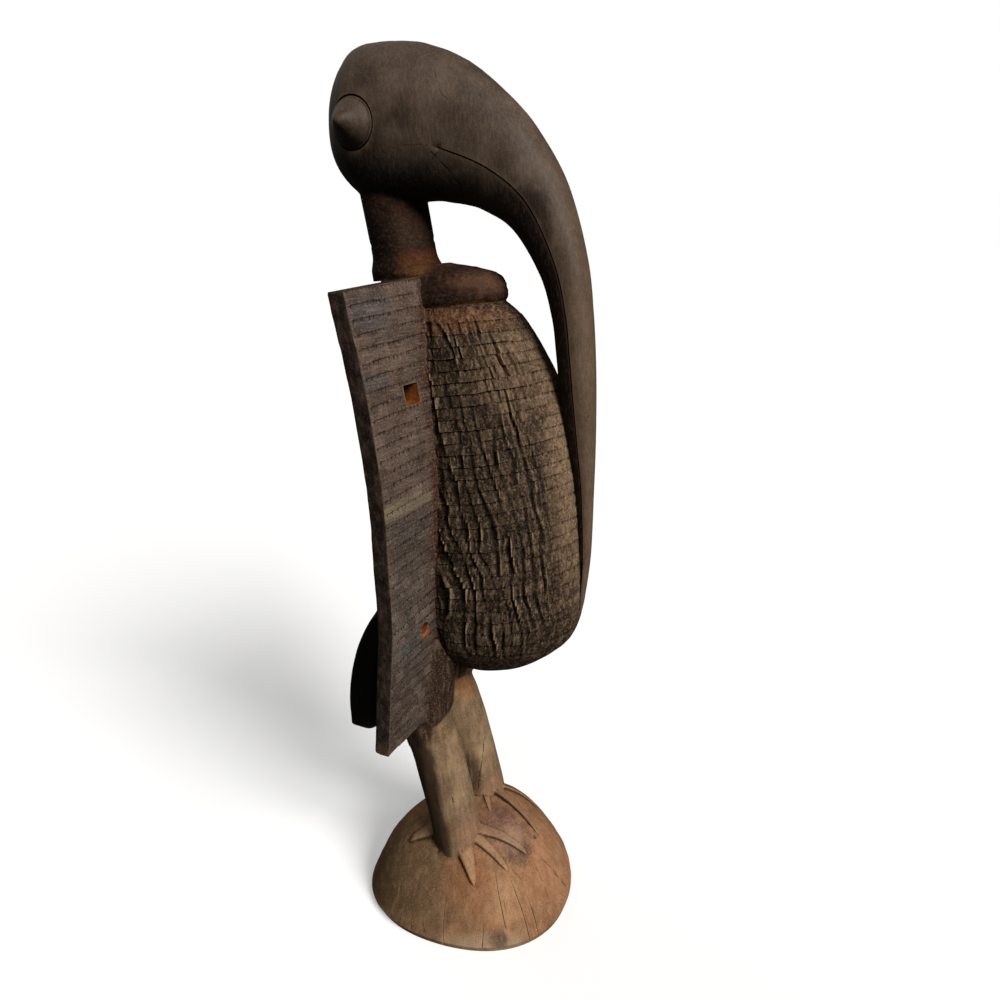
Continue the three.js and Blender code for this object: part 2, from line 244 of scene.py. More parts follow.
def skin(name: str, around: int, along: int, place: Place, zone: Zone) -> Solid:
    """Rolls a grid into a closed tube whose two ends shrink to points.

    Args:
        name: Name of the object.
        around: Faces around the tube.
        along: Faces from one end to the other.
        place: Puts each corner of the grid in space, from its count around and along.
        zone: Finish of every face.

    Returns:
        The object, at the origin, with its faces outward.
    """
    bm = bmesh.new()
    bmesh.ops.create_grid(bm, x_segments=around, y_segments=along, size=0.5)
    flat = np.array([vert.co for vert in bm.verts])
    columns = np.rint((flat[:, 0] + 0.5) * around).astype(int)
    steps = np.rint((flat[:, 1] + 0.5) * along).astype(int)
    laid = place(columns, steps)
    for vert, point in zip(bm.verts, laid.points):
        vert.co = point
    for mark in MARKS:
        layer = bm.verts.layers.float.new(mark)
        for vert, value in zip(bm.verts, np.zeros(len(flat)) + getattr(laid, mark)):
            vert[layer] = value
    bmesh.ops.remove_doubles(bm, verts=bm.verts, dist=WELD)
    bmesh.ops.recalc_face_normals(bm, faces=bm.faces)
    for face in bm.faces:
        face.material_index = zone
    return finished(name, bm)


def finished(name: str, bm: bmesh.types.BMesh) -> Solid:
    """Turns a bmesh into an object that stands at the origin.

    Args:
        name: Name of the object.
        bm: Its shape, which is freed.

    Returns:
        The object, with an empty material slot for each zone.
    """
    mesh = bpy.data.meshes.new(name)
    bm.to_mesh(mesh)
    bm.free()
    piece = bpy.data.objects.new(name, mesh)
    bpy.context.scene.collection.objects.link(piece)
    for zone in Zone:
        mesh.materials.append(None)
    return piece


def work_in(target: Solid, tools: Sequence[Solid], join: Join) -> None:
    """Adds solids to another, or cuts it with them, and removes them.

    Args:
        target: The solid that is changed.
        tools: The solids that are worked into it.
        join: Whether they add or cut.
    """
    for tool in tools:
        modifier = target.modifiers.new(tool.name, "BOOLEAN")
        modifier.object = tool
        modifier.operation = join.value
        modifier.solver = "MANIFOLD"
    depsgraph = bpy.context.evaluated_depsgraph_get()
    mesh = bpy.data.meshes.new_from_object(target.evaluated_get(depsgraph))
    target.modifiers.clear()
    target.data = mesh
    for tool in tools:
        bpy.data.objects.remove(tool)


# Belly and trunk: front, back and half width of each level, and where it is widest
TORSO = Stations(
    ("z", "front", "back", "half", "widest"),
    (
        (344, 62, 42, 14, 52), (347, 83, 21, 28, 52), (356, 110, 4, 44, 53),
        (369, 133, -13, 55, 55), (387, 154, -32, 66, 57), (411, 167, -51, 72, 60),
        (434, 172, -60, 75, 64), (468, 174, -62, 77, 68), (511, 174, -62, 77, 70),
        (553, 173, -61, 75, 70), (595, 170, -59, 73, 68), (638, 164, -55, 70, 62),
        (680, 153, -49, 64, 55), (709, 139, -44, 59, 48), (731, 126, -39, 54, 42),
        (748, 112, -34, 49, 38), (767, 88, -27, 40, 35),
    ),
)

COLLAR = Stations(
    ("z", "front", "back", "half", "widest"),
    (
        (753, 84, -29, 38, 31), (759, 100, -35, 47, 33), (767, 103, -36, 48, 33),
        (778, 100, -34, 46, 29), (787, 89, -31, 42, 22), (793, 67, -29, 38, 11),
        (798, 41, -27, 31, 2),
    ),
)

# How far each scored row of the belly climbs from the back to the front
CLIMB = Stations(("z", "climb"), ((344, 0), (360, 5), (420, 22), (480, 30), (580, 30), (680, 15), (748, 0)))

# Head and beak: middle line, depth across it in the plane of symmetry, and half width
BEAK = np.array(
    (
        (-68, 934, 18, 15), (-63, 933, 35, 29), (-54, 932, 49, 41), (-41, 931, 62, 50),
        (-24, 930, 71, 56), (10, 928, 71, 56), (41, 921, 67, 51), (74, 906, 58, 44),
        (112, 880, 45, 36), (144, 843, 33, 27), (166, 790, 24, 22), (174, 744, 20, 20),
        (176, 706, 19, 19), (177, 668, 18, 17), (179, 613, 14, 14), (180, 564, 10, 10),
        (178, 495, 7, 7), (173, 445, 4, 5), (171, 427, 2, 2),
    ),
    dtype=float,
)

# Wing: place of its front face at its outer edge and at the trunk, and how far its rows climb
WING = Stations(
    ("z", "outer", "crease", "inner", "climb"),
    (
        (292, 0, 3, 62, 0), (376, 13, 22, 67, 12), (440, 24, 33, 68, 16), (525, 30, 44, 69, 17),
        (574, 33, 49, 69, 16), (674, 30, 44, 62, 10), (780, 18, 33, 46, 8.5),
    ),
)

# Outer face of the tail, from its square end up to the rump
TAIL = Stations(
    ("z", "forward"),
    ((231, -146), (268, -143), (316, -131), (346, -119), (381, -99), (406, -80), (469, -48)),
)

# Leg: place of its middle, how much thicker it is, and how much farther back the left one is
LEG = Stations(
    ("z", "forward", "swell", "left_back"),
    (
        (43, 12, 0, 4), (99, 10, 0, 6), (149, 5, 0, 8), (191, -1, 0, 9), (234, -8, 0, 12),
        (264, -18, 1, 11), (275, -22, 3, 15), (291, -24, 9, 19), (319, -24, 13, 17),
        (355, -20, 17, 9), (387, -12, 14, 2), (413, -2, 0, 0), (434, 10, -19, 0),
    ),
)


@dataclass(frozen=True)
class Rows:
    """Scored rows that overlap like weatherboard, counted up from the low end of the wings.

    Attributes:
        start: Height of the first row's lower edge, in thousandths.
        end: Height of the last row's upper edge, in thousandths.
        pitch: Height of one row before whole rows are fitted.
        depth: How far a row falls back toward its top.
        profile: Share of the row's height and of its depth at each level of the mesh.
        slack: Share of a row that a height may miss it by and still take it in.
        tick_depth: Depth of the small cuts along each line.
        tick_from: Share of the row's depth past which a level lies on its line.
        tick_gaps: How many of the cuts are left out, from -1 for none to 1 for all.
    """

    start: float = 292
    end: float = 780
    pitch: float = 18 * MM
    depth: float = 1.6 * MM
    profile: tuple[Pair, ...] = ((0.0, 0.0), (0.07, 0.1), (0.33, 0.33), (0.6, 0.62), (0.82, 0.9), (0.93, 1.4))
    slack: float = 0.01
    tick_depth: float = 1.1 * MM
    tick_from: float = 0.8
    tick_gaps: float = -0.3

    @property
    def fitted(self) -> float:
        """Height of one row once a whole number of them fits, in thousandths."""
        height = self.end - self.start
        return height / round(height * SHARE / self.pitch)

    def levels(self, low: float, high: float) -> tuple[Values, Values, Values]:
        """Levels of the mesh between two heights.

        Args:
            low: Lowest height, in thousandths.
            high: Highest height, in thousandths.

        Returns:
            The heights, the share of the row's depth at each, and the count of rows up to each.
        """
        first = math.ceil((low - self.start) / self.fitted - self.slack)
        last = math.floor((high - self.start) / self.fitted + self.slack)
        made = [
            (self.start + (row + share) * self.fitted, inset, row + share)
            for row in range(first, last)
            for share, inset in self.profile
        ]
        made.append((self.start + last * self.fitted, 0.0, last))
        heights, insets, rows = np.array(made).T
        return heights, insets, rows

    def ticks(self, insets: Values, rows: Values, columns: Values) -> Values:
        """Depth of the small cuts along the lines.

        Args:
            insets: Share of the row's depth at each point.
            rows: Count of rows up to each point.
            columns: Column of the mesh that each point is in.

        Returns:
            Depth at each point, 0 away from the lines.
        """
        cells = np.stack([np.floor(rows), columns, 0 * rows], axis=1)
        struck = (columns % 2 == 0) & (lattice(cells, 11) > self.tick_gaps)
        return np.where(struck & (insets > self.tick_from), self.tick_depth * insets, 0.0)


@dataclass
class Base:
    """Low dome left uneven in plan, with drying cracks that run down to its edge.

    Attributes:
        edge_tuck: How far the underside draws in below the rim.
        power: Roundness of the dome, 2 for a ball's and more for a flatter top.
        skew: How far the plan leans to one diagonal, as a share of the radius.
        lobe: How far its three lobes swell, as a share of the radius.
        middle: Place of its middle on the floor.
        planed: How far it is cut back all over, which keeps its swells inside its own size.
        cracks: Bearing in degrees, then where the crack starts and ends as shares of the radius.
    """

    length: float = 0.380
    width: float = 0.352
    height: float = 0.168
    edge_height: float = 0.014
    edge_tuck: float = 0.005
    power: float = 3
    skew: float = 0.035
    lobe: float = 0.05
    middle: Pair = (-0.003, -0.009)
    sides: int = 144
    rings: int = 46
    planed: float = 1.2 * MM
    wander: Ripple = Ripple(1.6, 0.45, 5)
    swells: Ripple = Ripple(1.2 * MM, 0.055, 3)
    dents: Ripple = Ripple(0.5 * MM, 0.016, 4)
    crack_half_width: float = 0.24
    crack_depth: float = 2.2 * MM
    cracks: tuple[Triple, ...] = (
        (-135.5, 0.66, 0.95), (-125.5, 0.72, 1.05), (-118.5, 0.82, 1.05), (-89.0, 0.76, 0.98),
        (-172.5, 0.80, 1.02), (-150.0, 0.90, 1.02), (-62.0, 0.70, 1.00), (-24.0, 0.78, 1.02),
        (18.0, 0.60, 0.95), (71.0, 0.75, 1.02), (118.0, 0.68, 0.98), (152.0, 0.82, 1.02),
    )

    def outline(self, angle: Values) -> Values:
        """How far the edge swells or draws in at one angle, as a share of the radius."""
        return 1 - self.skew * np.sin(2 * angle) + self.lobe * np.cos(3 * angle)

    def surface(self, x: Values, y: Values) -> Values:
        """Height of the dome over points of the plan.

        Args:
            x: How far to the left each point is.
            y: How far back each point is.

        Returns:
            The height over each point.
        """
        across = (x - self.middle[0]) / (self.width / 2)
        along = (y - self.middle[1]) / (self.length / 2)
        reach = np.hypot(across, along) / self.outline(np.arctan2(along, across))
        rise = np.clip(1 - reach**self.power, 0, 1)
        return self.edge_height + (self.height - self.edge_height) * rise

    def bearings(self) -> Values:
        """Angles of the mesh's columns, with three close together along each crack.

        Returns:
            The angles in degrees, in order, all the way round.
        """
        even = np.arange(self.sides) * 360 / self.sides - 180
        cracks = np.array([crack[0] for crack in self.cracks])
        apart = np.abs(even[:, None] - cracks[None, :]).min(axis=1)
        lips = cracks[:, None] + self.crack_half_width * np.array([-1, 0, 1])
        made = np.sort(np.concatenate([even[apart > 2 * self.crack_half_width], lips.ravel()]))
        return np.append(made, made[0] + 360)

    def build(self) -> Solid:
        """Builds the dome with its cracks and its tucked-under edge.

        Returns:
            The closed solid.
        """
        bearings = self.bearings()
        tuck = 1 - 2 * self.edge_tuck / self.width
        under = [(0.0, 0.0), (0.6, 0.0), (0.9, 0.0), (tuck - 0.006, 0.0), (tuck, 0.25)]
        edge = [((1 + tuck) / 2, 0.65), (1.0, 1.0)]
        turns = np.linspace(0, math.pi / 2, self.rings + 1)[1:]
        reaches = np.array([reach for reach, _ in under + edge] + list(np.cos(turns)))
        rises = np.array([rise for _, rise in under + edge] + [1.0] * self.rings)
        reaches[-1] = 0.0

        def place(column: Values, step: Values) -> Laid:
            """Lays the dome from the middle of its underside, over its rim, to its top.

            Args:
                column: Count of each corner around it.
                step: Count of each corner along its outline.

            Returns:
                The corners in space.
            """
            reach = reaches[step]
            bent = np.stack([reach * 4, np.cos(np.radians(bearings[column])) * 6, 0 * reach], axis=1)
            angle = np.radians(bearings[column] + self.wander.at(bent) * fade(reach, 0.2, 0.5))
            lobe = self.outline(angle) * reach
            x = self.middle[0] + np.cos(angle) * self.width / 2 * lobe
            y = self.middle[1] + np.sin(angle) * self.length / 2 * lobe
            domed = step >= len(under + edge)
            z = np.where(domed, self.surface(x, y), rises[step] * self.edge_height)
            points = np.stack([x, y, z], axis=1)
            inset = self.crack_depths(bearings[column], reach)
            inset += self.swells.at(points) + self.dents.at(points)
            outward = points - np.array([*self.middle, -0.03])
            outward /= np.linalg.norm(outward, axis=1)[:, None]
            free = fade(z, 0.002, 0.012) * fade(reach, 0.0, 0.05)
            return Laid(points - outward * ((inset + self.planed) * free)[:, None])

        return skin("base", len(bearings) - 1, len(reaches) - 1, place, Zone.BASE)

    def crack_depths(self, bearing: Values, reach: Values) -> Values:
        """Depth of the cracks, which run out at both ends.

        Args:
            bearing: Bearing of each point, in degrees.
            reach: Distance of each point from the middle, as a share of the radius.

        Returns:
            The depth at each point.
        """
        depth = np.zeros(len(bearing))
        for middle, start, end in self.cracks:
            inside = np.abs(bearing - middle) < self.crack_half_width / 2
            taper = fade(reach, start, start + 0.1) * (1 - fade(reach, end - 0.02, end))
            depth = np.where(inside, self.crack_depth * taper, depth)
        return depth


@dataclass
class Leg:
    """Thigh and leg, leaning forward into the base, with soft facets down its length.

    Attributes:
        diameter: Thickness of the leg below the thigh.
        facet_depth: How far its facets stand off the round.
        bark_edge: Height where the dark crust of the thigh ends, in the middle of its front.
        bark_slope: How much higher it ends behind and outside than in front and inside.
        strip_depth: How far the strip down its outer back stands off the wood, also darkened as painted
            shade.
        strip_turn: How far back from its outer side the strip lies, as a share of the radius.
        strip_edge: Where the strip starts and where it is full, as shares of the radius.
    """

    side: int
    diameter: float = 0.085
    spacing: float = 0.120
    sides: int = 44
    levels: int = 84
    facet_depth: float = 1.3 * MM
    facet_size: Triple = (0.013, 0.013, 0.21)
    dent_size: Triple = (0.022, 0.022, 0.05)
    bark_edge: float = 0.377
    bark_slope: float = -0.025
    bark_fade: Pair = (0.003, 0.005)
    bark_wander: Ripple = Ripple(0.007, 0.02, 34)
    bark_height: float = 1.2 * MM
    bark_lumps: Ripple = Ripple(1.6 * MM, (0.012, 0.012, 0.02), 35)
    strip_depth: float = 0.6 * MM
    strip_turn: float = 0.35
    strip_edge: Pair = (0.78, 0.94)
    strip_wander: float = 0.16
    torn: Ripple = Ripple(1.0, (0.012, 0.012, 0.07), 36)

    def build(self) -> Solid:
        """Builds one leg from inside the base up into the belly.

        Returns:
            The closed solid.
        """
        low, high = LEG.rows[0][0], LEG.rows[-1][0]

        def place(column: Values, step: Values) -> Laid:
            """Lays the leg from its foot to its top.

            Args:
                column: Count of each corner around it.
                step: Count of each corner up it.

            Returns:
                The corners in space, darker where the crust is, with painted shade down the strip.
            """
            angle = column * 2 * math.pi / self.sides
            z = low + (high - low) * np.clip(step - 1, 0, self.levels - 2) / (self.levels - 2)
            radius = self.diameter / 2 + LEG.read("swell", z) * SHARE
            forward = LEG.read("forward", z)
            if self.side > 0:
                forward = forward - LEG.read("left_back", z)
            round_ = np.stack([np.cos(angle), np.sin(angle), 0 * angle], axis=1)
            middle = np.stack([0 * z + self.side * self.spacing / 2, -forward * SHARE, z * SHARE], axis=1)
            surface = middle + round_ * radius[:, None]
            facets = blotches(surface, self.facet_size, 20 + self.side)
            facets += 0.5 * blotches(surface, self.dent_size, 30 + self.side)
            radius = radius + self.facet_depth * facets
            outward = self.side * round_[:, 0] + round_[:, 1]
            edge = self.bark_edge + self.bark_slope * outward + self.bark_wander.at(surface)
            bark = fade(surface[:, 2], edge - self.bark_fade[0], edge + self.bark_fade[1])
            radius = radius + bark * (self.bark_height + self.bark_lumps.at(surface))
            torn = self.torn.at(surface)
            turned = self.side * round_[:, 0] + self.strip_turn * round_[:, 1]
            strip = fade(turned + self.strip_wander * torn, *self.strip_edge)
            radius = radius + self.strip_depth * strip * torn
            radius = np.where((step == 0) | (step == self.levels), 0.0, radius)
            # The strip's low relief mark is painted shade down the leg's outer back
            return Laid(middle + round_ * radius[:, None], relief=-0.4 * strip, shade=bark)

        return skin(f"leg_{self.side}", self.sides, self.levels, place, Zone.LEG)


@dataclass
class Toe:
    """A toe that runs out over the dome, cut steeply on its right and sloped on its left.

    Attributes:
        bearing: Direction from straight ahead in degrees, positive outward.
        reach: Distance of its tip from the middle of the leg.
        rise: Height above the dome where it leaves the leg.
        tip_share: Its width at the tip, as a share of its width at the leg.
        slope_share: How much farther its sloped side reaches, as a share.
        rounding_from: Share of its length at which its tip starts to round off.
        power: How square its plan is, 2 for round.
        cuts: How dark the painted shadow lines along its steep and its sloped edge are.
        cut_edge: Where those painted shadow lines start and are full, as shares of its half width.
        bare: How pale its top is, partly wear and partly a painted highlight.
    """

    side: int
    bearing: float
    reach: float
    width: float
    rise: float
    tip_share: float = 0.34
    slope_share: float = 0.75
    spacing: float = 0.120
    sides: int = 20
    levels: int = 26
    sunk: float = 0.007
    rounding_from: float = 0.86
    fall: float = 0.45
    power: float = 2.6
    grit: Ripple = Ripple(0.6 * MM, 0.012, 41)
    cuts: Pair = (0.8, 0.3)
    cut_edge: Pair = (0.955, 0.995)
    bare: float = 0.6

    def build(self, base: Base, name: str) -> Solid:
        """Builds one toe over the base.

        Args:
            base: The dome that it lies on.
            name: Name of the object.

        Returns:
            The toe.
        """
        bearing = math.radians(self.bearing)
        ahead = np.array([self.side * math.sin(bearing), -math.cos(bearing)])
        across = np.array([-ahead[1], ahead[0]])
        if across[0] > 0:
            across = -across
        floor = np.array([base.height / SHARE])
        back = LEG.read("left_back", floor)[0] if self.side > 0 else 0.0
        ankle = (LEG.read("forward", floor)[0] - back) * SHARE
        start = np.array([self.side * self.spacing / 2, -ankle])

        def place(column: Values, step: Values) -> Laid:
            """Lays the toe from inside the leg to its tip.

            Args:
                column: Count of each corner around it.
                step: Count of each corner along it.

            Returns:
                The corners in space, with painted shadow lines along its edges and a paler top, partly a
                painted highlight.
            """
            angle = column * 2 * math.pi / self.sides
            t = step / self.levels
            taper = 1 - (1 - self.tip_share) * t
            rounding = np.sqrt(np.clip(1 - fade(t, self.rounding_from, 1.0) ** 2, 0, 1))
            rounding = np.where((step == 0) | (step == self.levels), 0.0, rounding)
            near, up = np.cos(angle), np.sin(angle)
            lateral = squared(near, self.power)
            sideways = lateral * self.width / 2 * taper
            sideways = np.where(lateral < 0, sideways * (1 + self.slope_share), sideways)
            plan = start + ahead * (t * self.reach)[:, None] + across * (sideways * rounding)[:, None]
            top = np.sqrt(np.clip(1 - near**8, 0, 1)) * ((1 + near) / 2) ** 0.7
            height = np.where(up > 0, top * self.rise * (1 - self.fall * t), up * self.sunk)
            ground = base.surface(plan[:, 0], plan[:, 1])
            points = np.column_stack([plan, ground + height * rounding])
            points[:, 2] += self.grit.at(points) * rounding
            # Painted shadow lines along both edges, darker on the steep side
            cut = self.cuts[0] * fade(near, *self.cut_edge) + self.cuts[1] * fade(-near, *self.cut_edge)
            # Paler top, partly wear and partly a painted highlight
            bare = (1 - fade(np.abs(near), 0.5, 0.9)) * fade(up, 0.0, 0.4)
            return Laid(points, relief=-cut * fade(t, 0.0, 0.15), shade=self.bare * bare)

        return skin(name, self.sides, self.levels, place, Zone.BASE)


@dataclass
class Tail:
    """Thick curved board with a square end and softened edges.

    Attributes:
        end_shrink: How far each of the first levels draws in, 1 for to the middle.
        power: How square its section is, 2 for round.
    """

    width: float = 0.112
    thickness: float = 0.056
    sides: int = 48
    levels: int = 46
    corner: float = 0.008
    end_shrink: tuple[float, ...] = (1.0, 0.35, 0.1)
    end_lift: tuple[float, ...] = (0.0, 0.0, 0.3)
    power: float = 5
    dents: Ripple = Ripple(0.8 * MM, (0.02, 0.02, 0.06), 50)

    def build(self) -> Solid:
        """Builds the tail from its square end up into the rump.

        Returns:
            The closed solid.
        """
        low, high = TAIL.rows[0][0], TAIL.rows[-1][0]
        ends = len(self.end_shrink)
        climb = np.clip(np.arange(self.levels + 1) - ends, 0, self.levels - ends - 1)
        z_levels = low + (high - low) * climb / (self.levels - ends - 1)
        spare = [0.0] * (self.levels - ends)
        shrinks = np.array([*self.end_shrink, *spare, 1.0])
        lifts = np.array([*self.end_lift, *spare, 0.0])

        def place(column: Values, step: Values) -> Laid:
            """Lays the tail from its end to the rump.

            Args:
                column: Count of each corner around it.
                step: Count of each corner up it.

            Returns:
                The corners in space.
            """
            angle = column * 2 * math.pi / self.sides
            z = z_levels[step]
            slope = TAIL.read("forward", z + 1) - TAIL.read("forward", z - 1)
            along = np.stack([slope, 0 * slope + 2.0], axis=1)
            along /= np.linalg.norm(along, axis=1)[:, None]
            half = self.thickness / 2
            shut = shrinks[step] >= 1
            drawn = self.corner * shrinks[step]
            deep = squared(np.sin(angle), self.power) * (half - np.where(shut, half, drawn))
            wide = squared(np.cos(angle), self.power) * np.where(shut, 0.0, self.width / 2 - drawn)
            forward = TAIL.read("forward", z) * SHARE + along[:, 1] * (half + deep)
            height = z * SHARE - along[:, 0] * (half + deep) + self.corner * lifts[step]
            points = np.stack([wide, -forward, height], axis=1)
            points[:, 1] += self.dents.at(points)
            return Laid(points)

        return skin("tail", self.sides, self.levels, place, Zone.TAIL)


def body_points(table: Stations, z: Values, angle: Values, inset: Values) -> Points:
    """Points of the body's level outlines, rounder behind and fuller in front.

    Args:
        table: Stations of the form.
        z: Height of each point, in thousandths.
        angle: Turn of each point from straight ahead, in radians, positive to the left.
        inset: How far each point is cut back from the outline.

    Returns:
        The points.
    """
    lateral, backward = np.sin(angle), -np.cos(angle)
    widest = table.read("widest", z)
    reach = np.where(backward < 0, table.read("front", z) - widest, widest - table.read("back", z))
    x = squared(lateral, BODY_POWER) * (table.read("half", z) * SHARE - inset)
    forward = widest * SHARE - squared(backward, BODY_POWER) * (reach * SHARE - inset)
    return np.stack([x, -forward, z * SHARE], axis=1)


@dataclass
class Torso:
    """Belly and trunk, scored in rows and crossed by crests that the adze left.

    Attributes:
        under: Levels of the mesh below the rows, in thousandths.
        worked_turn: How far round from the front the rows go on each side, in degrees.
        front_turn: How far round from the front the columns are closer, in degrees.
        rough_turn: Where the smooth front ends and the rough sides are full, in degrees.
        crest_turn: Spacing of the crests round the body, in degrees.
        crest_drift: How much farther forward a crest is at the foot of the belly, in degrees.
        crest_length: Length over which a crest wavers.
        crest_jog: How far they jog from one row to the next, in shares of their spacing.
        crest_sets: Closeness, height and seed of each set of crests that cross each other.
        furrow: Place and half width of the scoop between two crests, in shares of their spacing.
        lip: Place and half width of the crest itself.
        chip: How far each chip of the blade stands up or down, as a share of a crest.
        crest_front: Where the crests start round from the front and are full, in degrees.
        crest_back: Where they start to end round the back and are gone, in degrees.
        crest_top: Where they start to end and are gone, from the top of the rows.
        groove_edge: Half width of the groove's bottom and of its mouth.
    """

    rows: Rows
    under: tuple[float, ...] = (344, 344, 344.6, 346, 348, 351, 354, 357, 359.5)
    first_row: float = 359
    last_row: float = 747
    over_levels: int = 8
    worked_turn: float = 116
    front_turn: float = 32
    front_columns: int = 46
    worked_columns: int = 74
    plain_columns: int = 20
    rough_turn: Pair = (22, 50)
    crest_height: float = 3.5 * MM
    crest_turn: float = 7.4
    crest_drift: float = 30
    crest_length: float = 0.11
    crest_wander: Ripple = Ripple(0.8, (2.3, 0.8, 1), 61)
    crest_waver: Ripple = Ripple(0.3, (0.8, 0.3, 1), 62)
    crest_jog: float = 0.07
    crest_sets: tuple[tuple[float, float, int], ...] = ((1.0, 1.0, 63), (1.7, 0.4, 73))
    furrow: Pair = (0.2, 0.13)
    lip: Pair = (0.93, 0.1)
    chip: float = 0.11
    crest_front: Pair = (22, 52)
    crest_back: Pair = (104, 113)
    crest_foot: float = 0.07
    crest_top: Pair = (0.03, 0.01)
    strokes: Ripple = Ripple(0.9, (0.03, 0.03, 0.02), 65)
    tufts: tuple[Ripple, Ripple] = (
        Ripple(0.6 * MM, (0.008, 0.008, 0.02), 66),
        Ripple(0.8 * MM, (0.011, 0.011, 0.009), 60),
    )
    swell: Ripple = Ripple(1.3 * MM, (0.03, 0.03, 0.08), 67)
    sag: Ripple = Ripple(2.0 * MM, (0.025, 0.025, 0.4), 68)
    groove_depth: float = 3.0 * MM
    groove_ahead: float = 0.004
    groove_edge: Pair = (0.003, 0.012)

    def crests(self, turn: Values, z: Values, row: Values) -> Values:
        """Height of the wavy crests that stand between the adze's scooped strokes.

        Args:
            turn: Turn from straight ahead at each point, in degrees, positive to the left.
            z: Height of each point, in metres.
            row: Count of rows up to each point.

        Returns:
            Height above the smooth body as a share of a crest's, below 0 in the scoops.
        """
        top, foot = self.last_row * SHARE, self.first_row * SHARE
        down = np.clip((top - z) / (top - foot), 0, 1)
        drifted = np.abs(turn) + self.crest_drift * down**1.6
        side = np.where(turn < 0, 0.0, 9.0)
        place = np.stack([drifted / self.crest_turn, z / self.crest_length, side], axis=1)
        bent = place[:, 0] + self.crest_wander.at(place) + self.crest_waver.at(place)
        bent += self.crest_jog * lattice(np.stack([np.floor(row), side, 0 * turn], axis=1), 64)
        lip_at, lip_width = self.lip
        height = np.zeros(len(turn))
        for closer, part, seed in self.crest_sets:
            phase = bent * closer
            share = phase - np.floor(phase)
            furrow = bump(share, *self.furrow)
            lip = bump(share, lip_at, lip_width) + bump(share, lip_at - 1, lip_width)
            strength = np.clip(0.6 + 1.3 * blotches(place, (1.3, 0.42, 1), seed), 0.06, 1.3)
            cell = np.stack([np.floor(row), np.floor(phase), side], axis=1)
            strength *= 0.85 + 0.3 * lattice(cell, 69)
            height += part * strength * (0.5 * lip - furrow + 0.25 * (share - self.furrow[0]))
        chip = np.stack([np.floor(row), np.floor(bent * 2), side], axis=1)
        height += self.chip * lattice(chip, 74)
        window = fade(np.abs(turn), *self.crest_front) * (1 - fade(np.abs(turn), *self.crest_back))
        window *= fade(z, foot, foot + self.crest_foot)
        window *= 1 - fade(z, top - self.crest_top[0], top + self.crest_top[1])
        return height * window

    def build(self) -> Solid:
        """Builds the trunk from its underside to the groove below the collar.

        Returns:
            The closed solid.
        """
        heights, insets, rows = self.rows.levels(self.first_row, self.last_row)
        below, top = np.array(self.under), TORSO.rows[-1][0]
        above = np.append(np.linspace(heights[-1] + 3, top, self.over_levels), top)
        z_levels = np.concatenate([below, heights, above])
        share = np.concatenate([0 * below, insets, 0 * above])
        row_of = np.concatenate([0 * below - 1, rows, 0 * above - 1])
        front = np.linspace(-self.front_turn, self.front_turn, self.front_columns + 1)
        worked = np.linspace(self.front_turn, self.worked_turn, self.worked_columns + 1)[1:]
        plain = np.linspace(self.worked_turn, 360 - self.worked_turn, self.plain_columns + 1)
        turns = np.concatenate([-worked[::-1], front, worked, plain[1:]])
        last = len(z_levels) - 1

        def place(column: Values, step: Values) -> Laid:
            """Lays the trunk from its underside to its top.

            Args:
                column: Count of each corner around it.
                step: Count of each corner up it.

            Returns:
                The corners in space, with the rows and the blade's marks.
            """
            turn = turns[column]
            facing = np.abs(np.where(turn > 180, turn - 360, turn))
            side = np.where(turn > 180, -1, np.sign(turn))
            z = z_levels[step]
            z = z + CLIMB.read("climb", z) * (1 + np.cos(np.radians(turn))) / 2
            in_rows = (row_of[step] >= 0).astype(float)
            worked = in_rows * (1 - fade(facing, self.worked_turn - 8, self.worked_turn + 2))
            raw = body_points(TORSO, z, np.radians(turn), np.zeros_like(z))
            rough = fade(facing, *self.rough_turn)
            shown = np.clip(0.5 + self.strokes.at(raw), 0.05, 1.0)
            inset = self.rows.depth * share[step] * (0.75 * rough + 0.25) * shown
            ticks = self.rows.ticks(share[step], row_of[step], np.mod(column, len(turns) - 1))
            inset += ticks * (1.25 - 0.6 * rough)
            inset *= worked
            relief = self.crests(facing * side, z * SHARE, row_of[step])
            inset -= self.crest_height * relief
            coarse = sum(tuft.at(raw) for tuft in self.tufts)
            inset -= coarse * worked * (0.2 + 0.8 * rough)
            inset -= self.swell.at(raw)
            wing = Wing(-1, self.rows).face_forward(z, np.abs(raw[:, 0]) / SHARE)
            joint = in_rows - in_rows * fade(np.abs(-raw[:, 1] - wing - self.groove_ahead), *self.groove_edge)
            inset += self.groove_depth * joint
            points = body_points(TORSO, z, np.radians(turn), inset)
            points[:, 2] += self.sag.at(raw) * in_rows
            shut = (step == 0) | (step == last)
            pole = np.stack([0 * z, np.full_like(z, -TORSO.rows[0][4] * SHARE), z * SHARE], axis=1)
            points = np.where(shut[:, None], pole, points)
            # relief carries the crests, which the finish paints with shade and highlights; shade is the wing
            # groove, partly painted shade
            return Laid(
                points,
                row=np.maximum(row_of[step], 0),
                along=facing * side * math.radians(1) * 0.1,
                worked=worked * (0.35 + 0.65 * shown),
                relief=relief,
                shade=joint,
            )

        return skin("torso", len(turns) - 1, last, place, Zone.BELLY)


